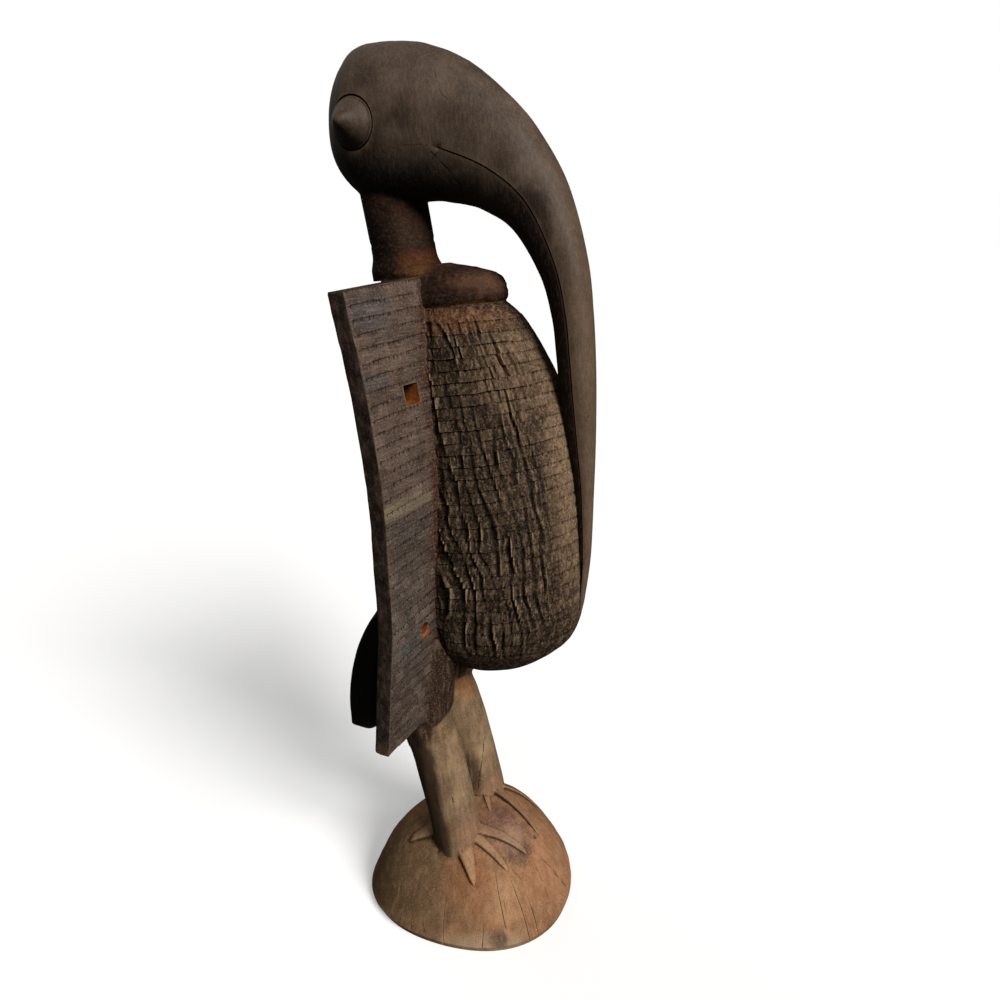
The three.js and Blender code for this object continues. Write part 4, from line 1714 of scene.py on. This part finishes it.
@dataclass(frozen=True)
class WoodFinish:
    """One finish of the old wood.

    Attributes:
        name: The material's name.
        dark: Tone of the darker blotches.
        body: Main tone.
        light: Tone of the lighter blotches.
        grime_and_painted_shade: Grime that lies in cuts and hollows, and painted shade where the relief is
            low.
        wear_and_painted_highlight: Bare tone on ridges, and painted highlights on the adze's crests.
        patch: Size of the blotches, in millimetres.
        grain: Size of the grain's streaks along each axis, in millimetres. They stand for bundles
            of fibres, since one fibre is too fine to show.
        grain_strength: How much the grain shows.
        pore: Size of pores and specks, in millimetres. Real pores are some 0.3 mm wide, too fine
            to show, so they are drawn several times coarser, as the eye sees them in clusters.
        pore_strength: How dark they are.
        fleck_strength: How light the flecks between them are.
        roughness: Lowest and highest roughness.
        gloss: How much it shines, 0.5 for varnish and less for dry wood.
        relief: Depth of grain and pores, in millimetres.
        grime: How strongly hollows darken.
        wear: How strongly ridges lighten.
        lines: How dark the scored lines are, 0 where there are none.
        tick: Spacing of the small cuts along the lines, in millimetres.
        brick: Length of the pieces of a row that differ in tone, in millimetres, 0 for none.
        deep: How strongly low relief darkens: painted shade in the scoops between the adze's crests, on toes
            and legs.
        crest: How strongly the crests lighten, as painted highlights.
        second: A second tone that the mesh says where to use, if there is one.
        stains: Patches in places of their own, some of them painted shade.
        scratches: Cracks and scratches in places of their own.
    """

    name: str
    dark: str
    body: str
    light: str
    grime_and_painted_shade: str
    wear_and_painted_highlight: str
    patch: float = 60
    grain: Triple = (3, 3, 60)
    grain_strength: float = 0.35
    pore: float = 2.2
    pore_strength: float = 0.4
    fleck_strength: float = 0.15
    roughness: Pair = (0.6, 0.85)
    gloss: float = 0.12
    relief: float = 0.4
    grime: float = 0.8
    wear: float = 0.5
    lines: float = 0.0
    tick: float = 7.0
    brick: float = 0.0
    deep: float = 0.0
    crest: float = 0.0
    second: str | None = None
    stains: tuple[StainAndShadePatch, ...] = ()
    scratches: tuple[Scratch, ...] = ()

    def build(self) -> bpy.types.Material:
        """Builds the material's nodes, one layer of tone over another.

        Returns:
            The material.
        """
        material = bpy.data.materials.new(self.name)
        material.use_nodes = True
        tree = material.node_tree
        tree.nodes.clear()
        place = add(tree, "TexCoord").outputs["Object"]
        shade, relief, hollow = (
            add(tree, "Attribute", attribute_name=name).outputs["Fac"]
            for name in ("shade", "relief", "hollow")
        )
        streaks = {0: place, 1: tuple(1 / (size * MM) for size in self.grain)}
        stretched = add(tree, "VectorMath", streaks, operation="MULTIPLY").outputs[0]
        blotch, grain, speck = (
            add(
                tree,
                "TexNoise",
                {"Vector": at, "Scale": scale, "Detail": detail, "Roughness": roughness},
            ).outputs["Fac"]
            for at, scale, detail, roughness in (
                (place, 1 / (self.patch * MM), 5.0, 0.62),
                (stretched, 1.0, 4.0, 0.65),
                (place, 1 / (self.pore * MM), 2.0, 0.5),
            )
        )
        ramp = add(tree, "ValToRGB", {"Fac": blotch})
        stops = ramp.color_ramp.elements
        for stop, position, tone in ((stops[0], 0.32, self.dark), (stops[1], 0.68, self.light)):
            stop.position = position
            stop.color = linear(tone)
        stops.new(0.5).color = linear(self.body)
        height = add(tree, "Math", {0: grain, 1: speck}, operation="ADD").outputs[0]

        layers = [(stain.colour, self.patch_of(tree, place, stain)) for stain in self.stains]
        if self.second:
            layers.append((self.second, shade))
        layers += self.bands(
            tree,
            (grain, 0.42, 0.72, self.grain_strength, self.grime_and_painted_shade),
            (grain, 0.5, 0.25, self.grain_strength, self.wear_and_painted_highlight),
            (speck, 0.56, 0.7, self.pore_strength, self.grime_and_painted_shade),
            (speck, 0.44, 0.3, self.fleck_strength, self.wear_and_painted_highlight),
        )
        cuts = []
        if self.lines > 0:
            worked, along, row = (
                add(tree, "Attribute", attribute_name=name).outputs["Fac"]
                for name in ("worked", "along", "row")
            )
            wavy = self.wavy_rows(tree, place, row)
            layers += self.bricks(tree, wavy, along, worked)
            cuts.append(self.scored(tree, place, wavy, along, worked))
        cuts += [self.scratch_of(tree, place, scratch) for scratch in self.scratches]
        for cut in cuts:
            layers.append((self.grime_and_painted_shade, cut))
            height = add(tree, "Math", {0: height, 1: cut}, operation="SUBTRACT").outputs[0]
        # High relief lightens the adze's crests as painted highlights; grime darkens hollows, wear lightens
        # ridges
        # Low relief darkens: painted shade in the scoops, along the toes and down the legs; also the mouth
        # line
        layers += self.bands(
            tree,
            (relief, 0.0, -0.38, self.deep, self.grime_and_painted_shade),
            (relief, 0.34, 0.62, self.crest, self.wear_and_painted_highlight),
            (hollow, 0.02, 0.30, self.grime, self.grime_and_painted_shade),
            (hollow, -0.05, -0.35, self.wear, self.wear_and_painted_highlight),
        )
        colour = ramp.outputs["Color"]
        for tone, amount in layers:
            mixed = {"Factor": amount, 6: colour, 7: linear(tone)}
            colour = add(tree, "Mix", mixed, data_type="RGBA").outputs[2]

        low, high = self.roughness
        levels = {"Value": blotch, "From Min": 0.35, "From Max": 0.65, "To Min": low, "To Max": high}
        rough = add(tree, "MapRange", levels).outputs["Result"]
        raised = {"Height": height, "Distance": self.relief * MM, "Strength": 1.0}
        normal = add(tree, "Bump", raised).outputs["Normal"]
        surface = {"Base Color": colour, "Roughness": rough, "Normal": normal}
        surface |= {"IOR": 1.45, "Specular IOR Level": self.gloss}
        shader = add(tree, "BsdfPrincipled", surface).outputs[0]
        add(tree, "OutputMaterial", {"Surface": shader})
        return material

    def bands(self, tree: Tree, *bands: tuple[Socket, float, float, float, str]) -> list[tuple[str, Socket]]:
        """Layers of tone that show where a value lies past another.

        Args:
            tree: The material's nodes.
            bands: The value, where the tone starts, where it is full, how much of it shows
                there, and the tone. A band that doesn't show is left out.

        Returns:
            The tone and the amount of each layer.
        """
        made = []
        for value, start, end, most, tone in bands:
            if most > 0:
                limits = {"Value": value, "From Min": start, "From Max": end, "To Max": most}
                made.append((tone, add(tree, "MapRange", limits).outputs["Result"]))
        return made

    def patch_of(self, tree: Tree, place: Socket, stain: StainAndShadePatch) -> Socket:
        """Mask of one stain, with a ragged edge.

        Args:
            tree: The material's nodes.
            place: Place on the carving.
            stain: The stain.

        Returns:
            How much of it shows.
        """
        across = place
        for values, operation in (
            ((c * MM for c in stain.centre), "SUBTRACT"),
            ((1 / (r * MM) for r in stain.radii), "MULTIPLY"),
        ):
            sides = {0: across, 1: tuple(values)}
            across = add(tree, "VectorMath", sides, operation=operation).outputs[0]
        distance = add(tree, "VectorMath", {0: across}, operation="LENGTH").outputs["Value"]
        torn = {"Vector": place, "Scale": 1 / (stain.torn * MM), "Detail": 5.0, "Roughness": 0.7}
        ragged = {0: add(tree, "TexNoise", torn).outputs["Fac"], 1: stain.ragged, 2: distance}
        edge = add(tree, "Math", ragged, operation="MULTIPLY_ADD").outputs[0]
        middle = 1 + stain.ragged / 2
        limits = {"From Min": middle + stain.soft, "From Max": middle - stain.soft, "To Max": stain.strength}
        return add(
            tree, "MapRange", {"Value": edge} | limits, interpolation_type="SMOOTHSTEP"
        ).outputs["Result"]

    def scratch_of(self, tree: Tree, place: Socket, scratch: Scratch) -> Socket:
        """Mask of one scratch, which wavers a little.

        Args:
            tree: The material's nodes.
            place: Place on the carving.
            scratch: The scratch.

        Returns:
            How much of it shows.
        """
        start, end = Vector(scratch.start) * MM, Vector(scratch.end) * MM
        run = end - start
        swing = 5 * MM
        noise = {"Vector": place, "Scale": 1 / (9 * MM), "Detail": 2.0}
        shifted = {0: add(tree, "TexNoise", noise).outputs["Color"], 1: (swing,) * 3, 2: place}
        waver = add(tree, "VectorMath", shifted, operation="MULTIPLY_ADD").outputs[0]
        from_start = {0: waver, 1: tuple(start + Vector((swing / 2,) * 3))}
        offset = add(tree, "VectorMath", from_start, operation="SUBTRACT").outputs[0]
        onto = {0: offset, 1: tuple(run / run.length_squared)}
        share = add(tree, "VectorMath", onto, operation="DOT_PRODUCT").outputs["Value"]
        share = add(tree, "Clamp", {"Value": share}).outputs[0]
        along = {0: tuple(run), "Scale": share}
        foot = add(tree, "VectorMath", along, operation="SCALE").outputs[0]
        gap = add(tree, "VectorMath", {0: offset, 1: foot}, operation="DISTANCE").outputs["Value"]
        width = scratch.width * MM
        limits = {"Value": gap, "From Min": width, "From Max": 0.3 * width, "To Max": scratch.strength}
        return add(tree, "MapRange", limits).outputs["Result"]

    def wavy_rows(self, tree: Tree, place: Socket, row: Socket) -> Socket:
        """Lets the mesh's rows waver a little.

        Args:
            tree: The material's nodes.
            place: Place on the carving.
            row: Count of rows up to each place.

        Returns:
            The wavering count.
        """
        swing = 0.2
        noise = {"Vector": place, "Scale": 1 / (20 * MM), "Detail": 3.0}
        lifted = {0: add(tree, "TexNoise", noise).outputs["Fac"], 1: swing, 2: row}
        wavy = add(tree, "Math", lifted, operation="MULTIPLY_ADD").outputs[0]
        return add(tree, "Math", {0: wavy, 1: swing / 2}, operation="SUBTRACT").outputs[0]

    def bricks(self, tree: Tree, wavy: Socket, along: Socket, worked: Socket) -> list[tuple[str, Socket]]:
        """Gives each short piece of a row a tone of its own.

        Args:
            tree: The material's nodes.
            wavy: Count of rows up to each place.
            along: Distance along the row.
            worked: How plainly the rows show.

        Returns:
            The tone and the amount of a darker and of a lighter layer.
        """
        row = add(tree, "Math", {0: wavy}, operation="FLOOR").outputs[0]
        offset = add(tree, "Math", {0: row, 1: 3.37}, operation="MULTIPLY").outputs[0]
        lengths = {0: along, 1: 1 / (self.brick * MM), 2: offset}
        run = add(tree, "Math", lengths, operation="MULTIPLY_ADD").outputs[0]
        piece = add(tree, "Math", {0: run}, operation="FLOOR").outputs[0]
        cell = add(tree, "CombineXYZ", {0: row, 1: piece}).outputs[0]
        noise = add(tree, "TexWhiteNoise", {"Vector": cell}, noise_dimensions="2D")
        tone = noise.outputs["Value"]
        layers = self.bands(tree, (tone, 0.5, 0.0, 0.4, self.dark), (tone, 0.6, 1.0, 0.13, self.wear_and_painted_highlight))
        return [
            (colour, add(tree, "Math", {0: part, 1: worked}, operation="MULTIPLY").outputs[0])
            for colour, part in layers
        ]

    def scored(self, tree: Tree, place: Socket, wavy: Socket, along: Socket, worked: Socket) -> Socket:
        """Mask of the scored lines and the small cuts below them, along the mesh's own rows.

        Args:
            tree: The material's nodes.
            place: Place on the carving.
            wavy: Count of rows up to each place.
            along: Distance along the row.
            worked: How plainly the rows show.

        Returns:
            Where the blade went, from 0 to 1.
        """
        off_line = add(tree, "Math", {0: wavy, 1: 0.5}, operation="PINGPONG").outputs[0]
        noise = {"Vector": place, "Scale": 1 / (11 * MM), "Detail": 3.0}
        broken = add(tree, "TexNoise", noise).outputs["Fac"]
        limits = {"Value": broken, "From Min": 0.42, "From Max": 0.64, "To Min": 0.004, "To Max": 0.07}
        width = add(tree, "MapRange", limits).outputs["Result"]
        width = add(tree, "Math", {0: width, 1: worked}, operation="MULTIPLY").outputs[0]
        limits = {"Value": off_line, "From Min": width, "From Max": 0.0, "To Max": 0.75}
        line = add(tree, "MapRange", limits).outputs["Result"]

        # Each small cut is a short wedge that hangs from its line
        row = add(tree, "Math", {0: wavy}, operation="ROUND").outputs[0]
        under = add(tree, "Math", {0: row, 1: wavy}, operation="SUBTRACT").outputs[0]
        offset = add(tree, "Math", {0: row, 1: 7.31}, operation="MULTIPLY").outputs[0]
        lengths = {0: along, 1: 1 / (self.tick * MM), 2: offset}
        run = add(tree, "Math", lengths, operation="MULTIPLY_ADD").outputs[0]
        spacing = {"W": run, "Scale": 1.0, "Randomness": 0.8}
        cell = add(tree, "TexVoronoi", spacing, voronoi_dimensions="1D", feature="F1")
        limits = {"Value": under, "From Min": 0.0, "From Max": 0.3, "To Min": 0.2, "To Max": 0.03}
        reach = add(tree, "MapRange", limits).outputs["Result"]
        inside, hung, some = (
            add(tree, "MapRange", part).outputs["Result"]
            for part in (
                {"Value": cell.outputs["Distance"], "From Min": reach, "From Max": 0.0, "To Max": 2.2},
                {"Value": under, "From Min": 0.32, "From Max": 0.2, "To Max": 1.0},
                {"Value": broken, "From Min": 0.40, "From Max": 0.52, "To Min": 0.25},
            )
        )
        below = add(tree, "Math", {0: under, 1: -0.05}, operation="GREATER_THAN").outputs[0]
        cut = inside
        for other, operation in (
            (below, "MULTIPLY"),
            (hung, "MULTIPLY"),
            (some, "MULTIPLY"),
            (line, "MAXIMUM"),
            (worked, "MULTIPLY"),
            (self.lines, "MULTIPLY"),
        ):
            cut = add(tree, "Math", {0: cut, 1: other}, operation=operation).outputs[0]
        return cut


FINISHES: dict[Zone, WoodFinish] = {
    # Head and beak, rubbed by hands: even dark brown, a faint sheen, scratches, a redder mandible
    Zone.HEAD: WoodFinish(
        name="rubbed_dark_hardwood", dark="#382c23", body="#4a3c31", light="#5a4b3e",
        grime_and_painted_shade="#120c08", wear_and_painted_highlight="#7a634c", patch=55, grain=(3.0, 3.0, 14), grain_strength=0.25,
        pore=1.9, pore_strength=0.35, fleck_strength=0.12, roughness=(0.5, 0.68), gloss=0.2,
        relief=0.25, grime=0.95, deep=1.0, second="#150b07",
        stains=(
            StainAndShadePatch("#140e0a", (-20, -250, 1009), (9, 9, 15), 0.95, soft=0.3, torn=5),
            StainAndShadePatch("#6b543e", (0, -262, 860), (90, 46, 330), 0.4, torn=40),
            StainAndShadePatch("#3b3027", (0, -10, 1400), (90, 110, 36), 0.5, soft=0.7, torn=30),
            StainAndShadePatch("#33271e", (-98, 26, 1308), (30, 44, 44), 0.6, torn=16),
            StainAndShadePatch("#1a130e", (-38, -205, 1185), (30, 22, 22), 0.75, torn=12),
            # Painted shade under the head and at its lower back
            StainAndShadePatch("#090605", (-30, 0, 1206), (90, 130, 50), 0.96, soft=0.5, torn=24),
            StainAndShadePatch("#0a0705", (-66, 46, 1240), (58, 60, 46), 0.92, soft=0.6, torn=20),
            StainAndShadePatch("#1d1510", (-34, -225, 1160), (20, 8, 26), 0.6, torn=9),
            StainAndShadePatch("#1b1410", (-41, -172, 1201), (20, 20, 9), 0.7, torn=8),
            StainAndShadePatch("#2c231c", (-74, -50, 1310), (14, 10, 18), 0.6, torn=10),
        ),
        scratches=(
            Scratch((-63, -83, 1261), (-55, -100, 1242), 1.5, 0.85),
            Scratch((-55, -100, 1242), (-43, -114, 1217), 1.7, 0.9),
            Scratch((-62, -95, 1262), (-60, -82, 1253), 1.2, 0.7),
            Scratch((-14, -134, 1355), (-41, -148, 1321), 1.3, 0.8),
            Scratch((-41, -148, 1321), (-50, -160, 1296), 1.1, 0.5),
            Scratch((-53, -92, 1355), (-60, -100, 1331), 1.2, 0.6),
            Scratch((-60, -100, 1331), (-61, -112, 1318), 1.1, 0.5),
            Scratch((-70, -48, 1273), (-65, -80, 1270), 1.1, 0.45),
        ),
    ),
    # Neck and collar: dark crust, with rusty stain in the creases
    Zone.NECK: WoodFinish(
        name="rust_stained_crusted_wood", dark="#120a06", body="#24150d", light="#3c2517",
        grime_and_painted_shade="#0a0604", wear_and_painted_highlight="#6e472c", patch=19, grain=(6, 6, 4), grain_strength=0.3, pore=3.4,
        pore_strength=0.4, fleck_strength=0.15, roughness=(0.75, 0.95), relief=1.1, wear=0.5,
        stains=(
            # Painted shade on the upper neck, under the head
            StainAndShadePatch("#33251b", (-20, -20, 1172), (60, 60, 22), 0.7, torn=16),
            StainAndShadePatch("#5c3219", (-10, -30, 1132), (60, 60, 13), 0.45, torn=10),
            StainAndShadePatch("#7d4823", (-20, -90, 1066), (110, 90, 5), 0.75, torn=8),
            StainAndShadePatch("#5a4030", (0, -120, 1096), (60, 40, 16), 0.6, torn=12),
            StainAndShadePatch("#704a22", (-50, -34, 1116), (12, 18, 12), 0.5, soft=0.7, torn=6),
            StainAndShadePatch("#0d0806", (-48, 24, 1140), (24, 30, 60), 0.85, torn=16),
            StainAndShadePatch("#120b08", (-56, -85, 1078), (24, 40, 9), 0.8, torn=10),
        ),
    ),
    # Belly: grey-brown, black in the cuts, with painted shade between the adze ridges and painted highlights
    # on them
    Zone.BELLY: WoodFinish(
        name="adzed_grey_brown_wood", dark="#1a130d", body="#291e15", light="#3f2f22",
        grime_and_painted_shade="#0d0805", wear_and_painted_highlight="#957b5f", patch=20, grain=(6, 6, 11), grain_strength=0.52, pore=3.0,
        pore_strength=0.75, fleck_strength=0.36, roughness=(0.7, 0.9), relief=1.5, grime=0.95,
        # deep paints shade in the scoops between the ridges, crest paints highlights on them
        # second darkens the groove along the wing: dark red-brown wood and painted shade
        wear=0.55, lines=0.55, tick=7.0, brick=12, deep=0.55, crest=0.5, second="#24100a",
        stains=(
            StainAndShadePatch("#6a4026", (-50, -90, 1048), (80, 80, 16), 0.6, torn=14),
            StainAndShadePatch("#8a6f56", (0, -252, 870), (78, 40, 220), 0.7, soft=0.5, ragged=0.6, torn=22),
            StainAndShadePatch("#705843", (-50, -185, 980), (70, 56, 70), 0.6, torn=22),
            # Painted shade in the deep gap along the near wing
            StainAndShadePatch("#130c08", (-112, -52, 800), (32, 48, 360), 0.85, torn=18),
        ),
    ),
    # Wing fronts: dry mauve-grey brown with dotted lines
    Zone.WING: WoodFinish(
        name="scored_grey_wing_wood", dark="#3b2e25", body="#4e3e34", light="#615044",
        grime_and_painted_shade="#1a0f0a", wear_and_painted_highlight="#837060", patch=36, grain=(24, 24, 2.2), grain_strength=0.35,
        pore=2.5, pore_strength=0.6, fleck_strength=0.45, roughness=(0.75, 0.95), relief=0.6,
        grime=0.8, wear=0.4, lines=1.0, tick=8.5, brick=17, second="#3d1e12",
        stains=(
            StainAndShadePatch("#2c2722", (-165, -10, 470), (80, 60, 100), 0.6, torn=30),
            StainAndShadePatch("#45464a", (-165, -35, 1070), (38, 60, 26), 0.5, torn=10),
            StainAndShadePatch("#3d4044", (-188, -40, 985), (26, 60, 13), 0.5, torn=10),
            StainAndShadePatch("#33302f", (-165, -40, 778), (70, 60, 20), 0.55, torn=9),
            StainAndShadePatch("#746751", (-165, -52, 812), (70, 60, 11), 0.75, torn=6),
            StainAndShadePatch("#363836", (-160, -35, 640), (60, 60, 120), 0.45, torn=30),
            StainAndShadePatch("#2f3c3a", (-155, -35, 590), (50, 60, 16), 0.6, torn=12),
            StainAndShadePatch("#9a5226", (-124, -38, 590), (9, 30, 11), 0.95, torn=5),
        ),
    ),
    # Wing edges and backs: almost black, rubbed, with bare light wood where they are chipped
    Zone.EDGE: WoodFinish(
        name="dark_rubbed_board_edge", dark="#1a1310", body="#281e18", light="#3a2d24",
        grime_and_painted_shade="#080605", wear_and_painted_highlight="#6a5440", patch=26, grain=(7, 7, 14), grain_strength=0.4, pore=3.0,
        pore_strength=0.5, roughness=(0.6, 0.85), relief=0.7,
        stains=(StainAndShadePatch("#5f4a36", (-200, 5, 420), (30, 40, 10), 0.5, torn=9),),
    ),
    # Bare wood inside the cord holes
    Zone.RAW: WoodFinish(
        name="bare_orange_wood", dark="#4e230c", body="#703512", light="#8a4a1d", grime_and_painted_shade="#2c1408",
        wear_and_painted_highlight="#b87a44", patch=12, grain=(1.5, 1.5, 9), roughness=(0.7, 0.9), relief=0.4, grime=0.4,
        wear=0.0,
        stains=(
            StainAndShadePatch("#140904", (-118, -18, 605), (12, 13, 12), 0.95, torn=4),
            StainAndShadePatch("#2a1206", (-112, -30, 966), (20, 13, 22), 0.85, torn=5),
        ),
    ),
    # Legs: khaki, worn smooth, with a dark crust where the thigh leaves the belly
    Zone.LEG: WoodFinish(
        name="khaki_worn_hardwood", dark="#5f4a35", body="#775f47", light="#8c7356",
        grime_and_painted_shade="#21160f", wear_and_painted_highlight="#a68a68", patch=46, grain=(7, 7, 90), grain_strength=0.26, pore=2.4,
        pore_strength=0.35, fleck_strength=0.25, roughness=(0.6, 0.8), relief=0.5, wear=0.12,
        # deep paints shade down each leg's outer back; second is the thigh's dark crust
        deep=0.8, second="#2a1c15",
        stains=(
            StainAndShadePatch("#271a13", (-104, -15, 486), (24, 44, 106), 0.95, ragged=0.3, torn=8),
            StainAndShadePatch("#271a13", (104, -15, 486), (24, 44, 106), 0.95, ragged=0.3, torn=8),
            StainAndShadePatch("#8b5833", (46, 7, 398), (26, 36, 30), 0.7, soft=0.8, torn=12),
            StainAndShadePatch("#7f5c44", (-60, -45, 172), (60, 60, 30), 0.6, soft=0.7, torn=12),
            StainAndShadePatch("#7f5c44", (60, -45, 178), (50, 60, 26), 0.5, soft=0.7, torn=12),
            StainAndShadePatch("#35261b", (19, -4, 216), (12, 22, 42), 0.75, torn=14),
            StainAndShadePatch("#4c3a2b", (-96, -20, 290), (16, 22, 60), 0.4, torn=16),
            StainAndShadePatch("#4a3320", (-90, 5, 372), (60, 60, 12), 0.6, torn=12),
        ),
        scratches=(
            Scratch((58, -22, 301), (42, -25, 269), 1.3, 0.8),
            Scratch((42, -25, 269), (27, -21, 223), 1.6, 0.9),
            Scratch((27, -21, 223), (20, -16, 181), 1.6, 0.9),
            Scratch((-88, -26, 268), (-91, -32, 248), 2.0, 0.8),
        ),
    ),
    # Tail: almost black, painted shade for the shadow it lies in
    Zone.TAIL: WoodFinish(
        name="tail_wood_in_painted_shade", dark="#0c0a08", body="#14100d", light="#1f1914",
        grime_and_painted_shade="#050403", wear_and_painted_highlight="#2e261e", patch=40, roughness=(0.6, 0.8), relief=0.4,
    ),
    # Base: terracotta brown, dry, with grey-brown and worn pale patches
    Zone.BASE: WoodFinish(
        name="dry_red_brown_base_wood", dark="#6d4b33", body="#856043", light="#9a7353",
        grime_and_painted_shade="#20140d", wear_and_painted_highlight="#b08d6b", patch=75, grain=(12, 12, 40), grain_strength=0.25,
        pore=2.0, pore_strength=0.4, fleck_strength=0.3, roughness=(0.75, 0.95), relief=0.4,
        # deep paints shadow lines along the toes; second is their paler tops, partly wear and partly painted
        # highlight
        wear=0.35, deep=0.75, second="#957459",
        stains=(
            StainAndShadePatch("#57452f", (-130, 80, 90), (80, 130, 120), 0.8, torn=40),
            StainAndShadePatch("#96694a", (30, -165, 80), (90, 60, 90), 0.6, torn=40),
            StainAndShadePatch("#8b5736", (-120, -60, 110), (40, 46, 50), 0.4, torn=24),
            StainAndShadePatch("#6a493e", (-18, -92, 150), (44, 62, 34), 0.7, ragged=1.4, torn=9),
            StainAndShadePatch("#44302a", (-38, -126, 130), (26, 26, 20), 0.7, ragged=1.8, torn=5),
            StainAndShadePatch("#a58669", (-26, -104, 144), (26, 34, 20), 0.45, ragged=2.0, torn=5),
            StainAndShadePatch("#573a34", (-6, -78, 158), (26, 22, 16), 0.5, torn=7),
            StainAndShadePatch("#2a1d16", (10, -134, 121), (4, 4, 4), 0.8, torn=4),
            StainAndShadePatch("#a38f74", (-150, -105, 12), (60, 80, 22), 0.5, torn=14),
            StainAndShadePatch("#241c17", (-136, -124, 24), (15, 15, 15), 0.7, torn=8),
        ),
        scratches=(
            Scratch((-8, -156, 95), (0, -174, 62), 1.4, 0.8),
            Scratch((0, -174, 62), (12, -190, 27), 1.4, 0.8),
            Scratch((-69, -118, 122), (-66, -140, 97), 1.2, 0.6),
            Scratch((-30, -150, 104), (-44, -178, 50), 1.2, 0.5),
            Scratch((-53, -178, 47), (-15, -194, 23), 1.1, 0.45),
            Scratch((-62, -177, 42), (-28, -195, 20), 1.1, 0.45),
            Scratch((-102, -118, 87), (-111, -130, 59), 1.1, 0.55),
            Scratch((-77, -163, 54), (-82, -178, 12), 1.2, 0.6),
            Scratch((-162, 11, 35), (-168, 5, 19), 1.3, 0.7),
            Scratch((-162, 35, 33), (-168, 32, 17), 1.3, 0.7),
            Scratch((-159, 58, 34), (-166, 61, 16), 1.3, 0.7),
        ),
    ),
}


@dataclass
class Studio:
    """Pale floor, soft light and the camera that took the picture.

    Attributes:
        azimuth: Camera's turn from the bird's right side toward its front, in degrees.
        pitch: How far the camera looks down, in degrees.
        roll: How far it is tipped, in degrees.
        focal: Its focal length in widths of the picture.
        distance: Level distance from the figure's middle.
        aside: How far it stands to the right of the middle.
        height: How high it stands.
        room_light: Strength of the even light of the room.
        lamps: Name, direction, spread in degrees and strength of each lamp.
    """

    azimuth: float = 27
    pitch: float = 18
    roll: float = 4
    focal: float = 0.727
    distance: float = 1.124
    aside: float = 0.103
    height: float = 1.12
    room_light: float = 0.048
    lamps: tuple[tuple[str, Triple, float, float], ...] = (
        ("key", (-1.2, -2.8, 1.9), 26, 4.4),
        ("fill", (-2.2, -1.2, 2.4), 60, 0.35),
        ("back", (1.2, 2.6, 2.2), 60, 0.5),
    )

    def camera(self) -> None:
        """Sets up the camera where the picture was taken."""
        azimuth, pitch, roll = (math.radians(a) for a in (self.azimuth, self.pitch, self.roll))
        level = Vector((math.cos(azimuth), math.sin(azimuth), 0))
        right = Vector((math.sin(azimuth), -math.cos(azimuth), 0))
        up = Vector((0, 0, 1))
        ahead = math.cos(pitch) * level - math.sin(pitch) * up
        down = -math.sin(pitch) * level - math.cos(pitch) * up
        x_axis = math.cos(roll) * right + math.sin(roll) * down
        y_axis = math.sin(roll) * right - math.cos(roll) * down
        matrix = Matrix((x_axis, y_axis, -ahead)).transposed().to_4x4()
        matrix.translation = -level * self.distance + right * self.aside + up * self.height
        data = bpy.data.cameras.new("camera")
        data.lens = data.sensor_width * self.focal
        camera = bpy.data.objects.new("camera", data)
        camera.matrix_world = matrix
        bpy.context.scene.collection.objects.link(camera)
        bpy.context.scene.camera = camera

    def floor(self) -> None:
        """Lays the plain pale floor."""
        bm = bmesh.new()
        bmesh.ops.create_grid(bm, x_segments=1, y_segments=1, size=60)
        mesh = bpy.data.meshes.new("floor")
        bm.to_mesh(mesh)
        bm.free()
        floor = bpy.data.objects.new("floor", mesh)
        bpy.context.scene.collection.objects.link(floor)
        paint = bpy.data.materials.new("matte_white_floor_paint")
        paint.use_nodes = True
        looks = {"Base Color": linear("#e4e3e1"), "Roughness": 0.9}
        looks |= {"Emission Color": linear("#ffffff"), "Emission Strength": 0.3}
        for name, value in looks.items():
            paint.node_tree.nodes["Principled BSDF"].inputs[name].default_value = value
        mesh.materials.append(paint)
        floor.visible_diffuse = False
        floor.visible_glossy = False

    def lamp(self, name: str, at: Sequence[float], spread: float, strength: float) -> None:
        """Hangs one wide soft lamp, far off, that lights the whole figure evenly.

        Args:
            name: Name of the lamp.
            at: Direction in which it hangs.
            spread: How wide it looks from the figure, in degrees.
            strength: Light that falls on a surface facing it.
        """
        data = bpy.data.lights.new(name, "SUN")
        data.angle = math.radians(spread)
        data.energy = strength
        lamp = bpy.data.objects.new(name, data)
        lamp.location = at
        lamp.rotation_euler = (-Vector(at)).to_track_quat("-Z", "Y").to_euler()
        bpy.context.scene.collection.objects.link(lamp)

    def light(self) -> None:
        """Hangs the lamps and sets the dim light of the room, seen as a white backdrop."""
        for lamp in self.lamps:
            self.lamp(*lamp)
        world = bpy.data.worlds.new("room")
        world.use_nodes = True
        tree = world.node_tree
        tree.nodes.clear()
        seen = add(tree, "LightPath").outputs["Is Camera Ray"]
        room, backdrop = (
            add(tree, "Background", {"Color": linear("#ffffff"), "Strength": strength}).outputs[0]
            for strength in (self.room_light, 1.0)
        )
        mixed = add(tree, "MixShader", {0: seen, 1: room, 2: backdrop}).outputs[0]
        add(tree, "OutputWorld", {"Surface": mixed})
        bpy.context.scene.world = world
        bpy.context.scene.view_settings.view_transform = "Standard"


def main() -> None:
    """Builds the figure, dresses it and sets up the studio."""
    studio = Studio()
    studio.camera()
    studio.floor()
    studio.light()
    carving = Hornbill()
    figure = carving.build()
    carving.trim(figure, np.array(CAD_BOX))
    for zone, finish in FINISHES.items():
        figure.data.materials[zone] = finish.build()
    figure.data.shade_smooth()
    figure.data.set_sharp_from_angle(angle=math.radians(48))
    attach(figure, "root")
    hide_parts(NODE)
    triangles = sum(len(face.vertices) - 2 for face in figure.data.polygons)
    log.info("%s: %d triangles", figure.name, triangles)


if __name__ == "__main__":
    logging.basicConfig(level=logging.INFO, format="%(message)s")
    main()
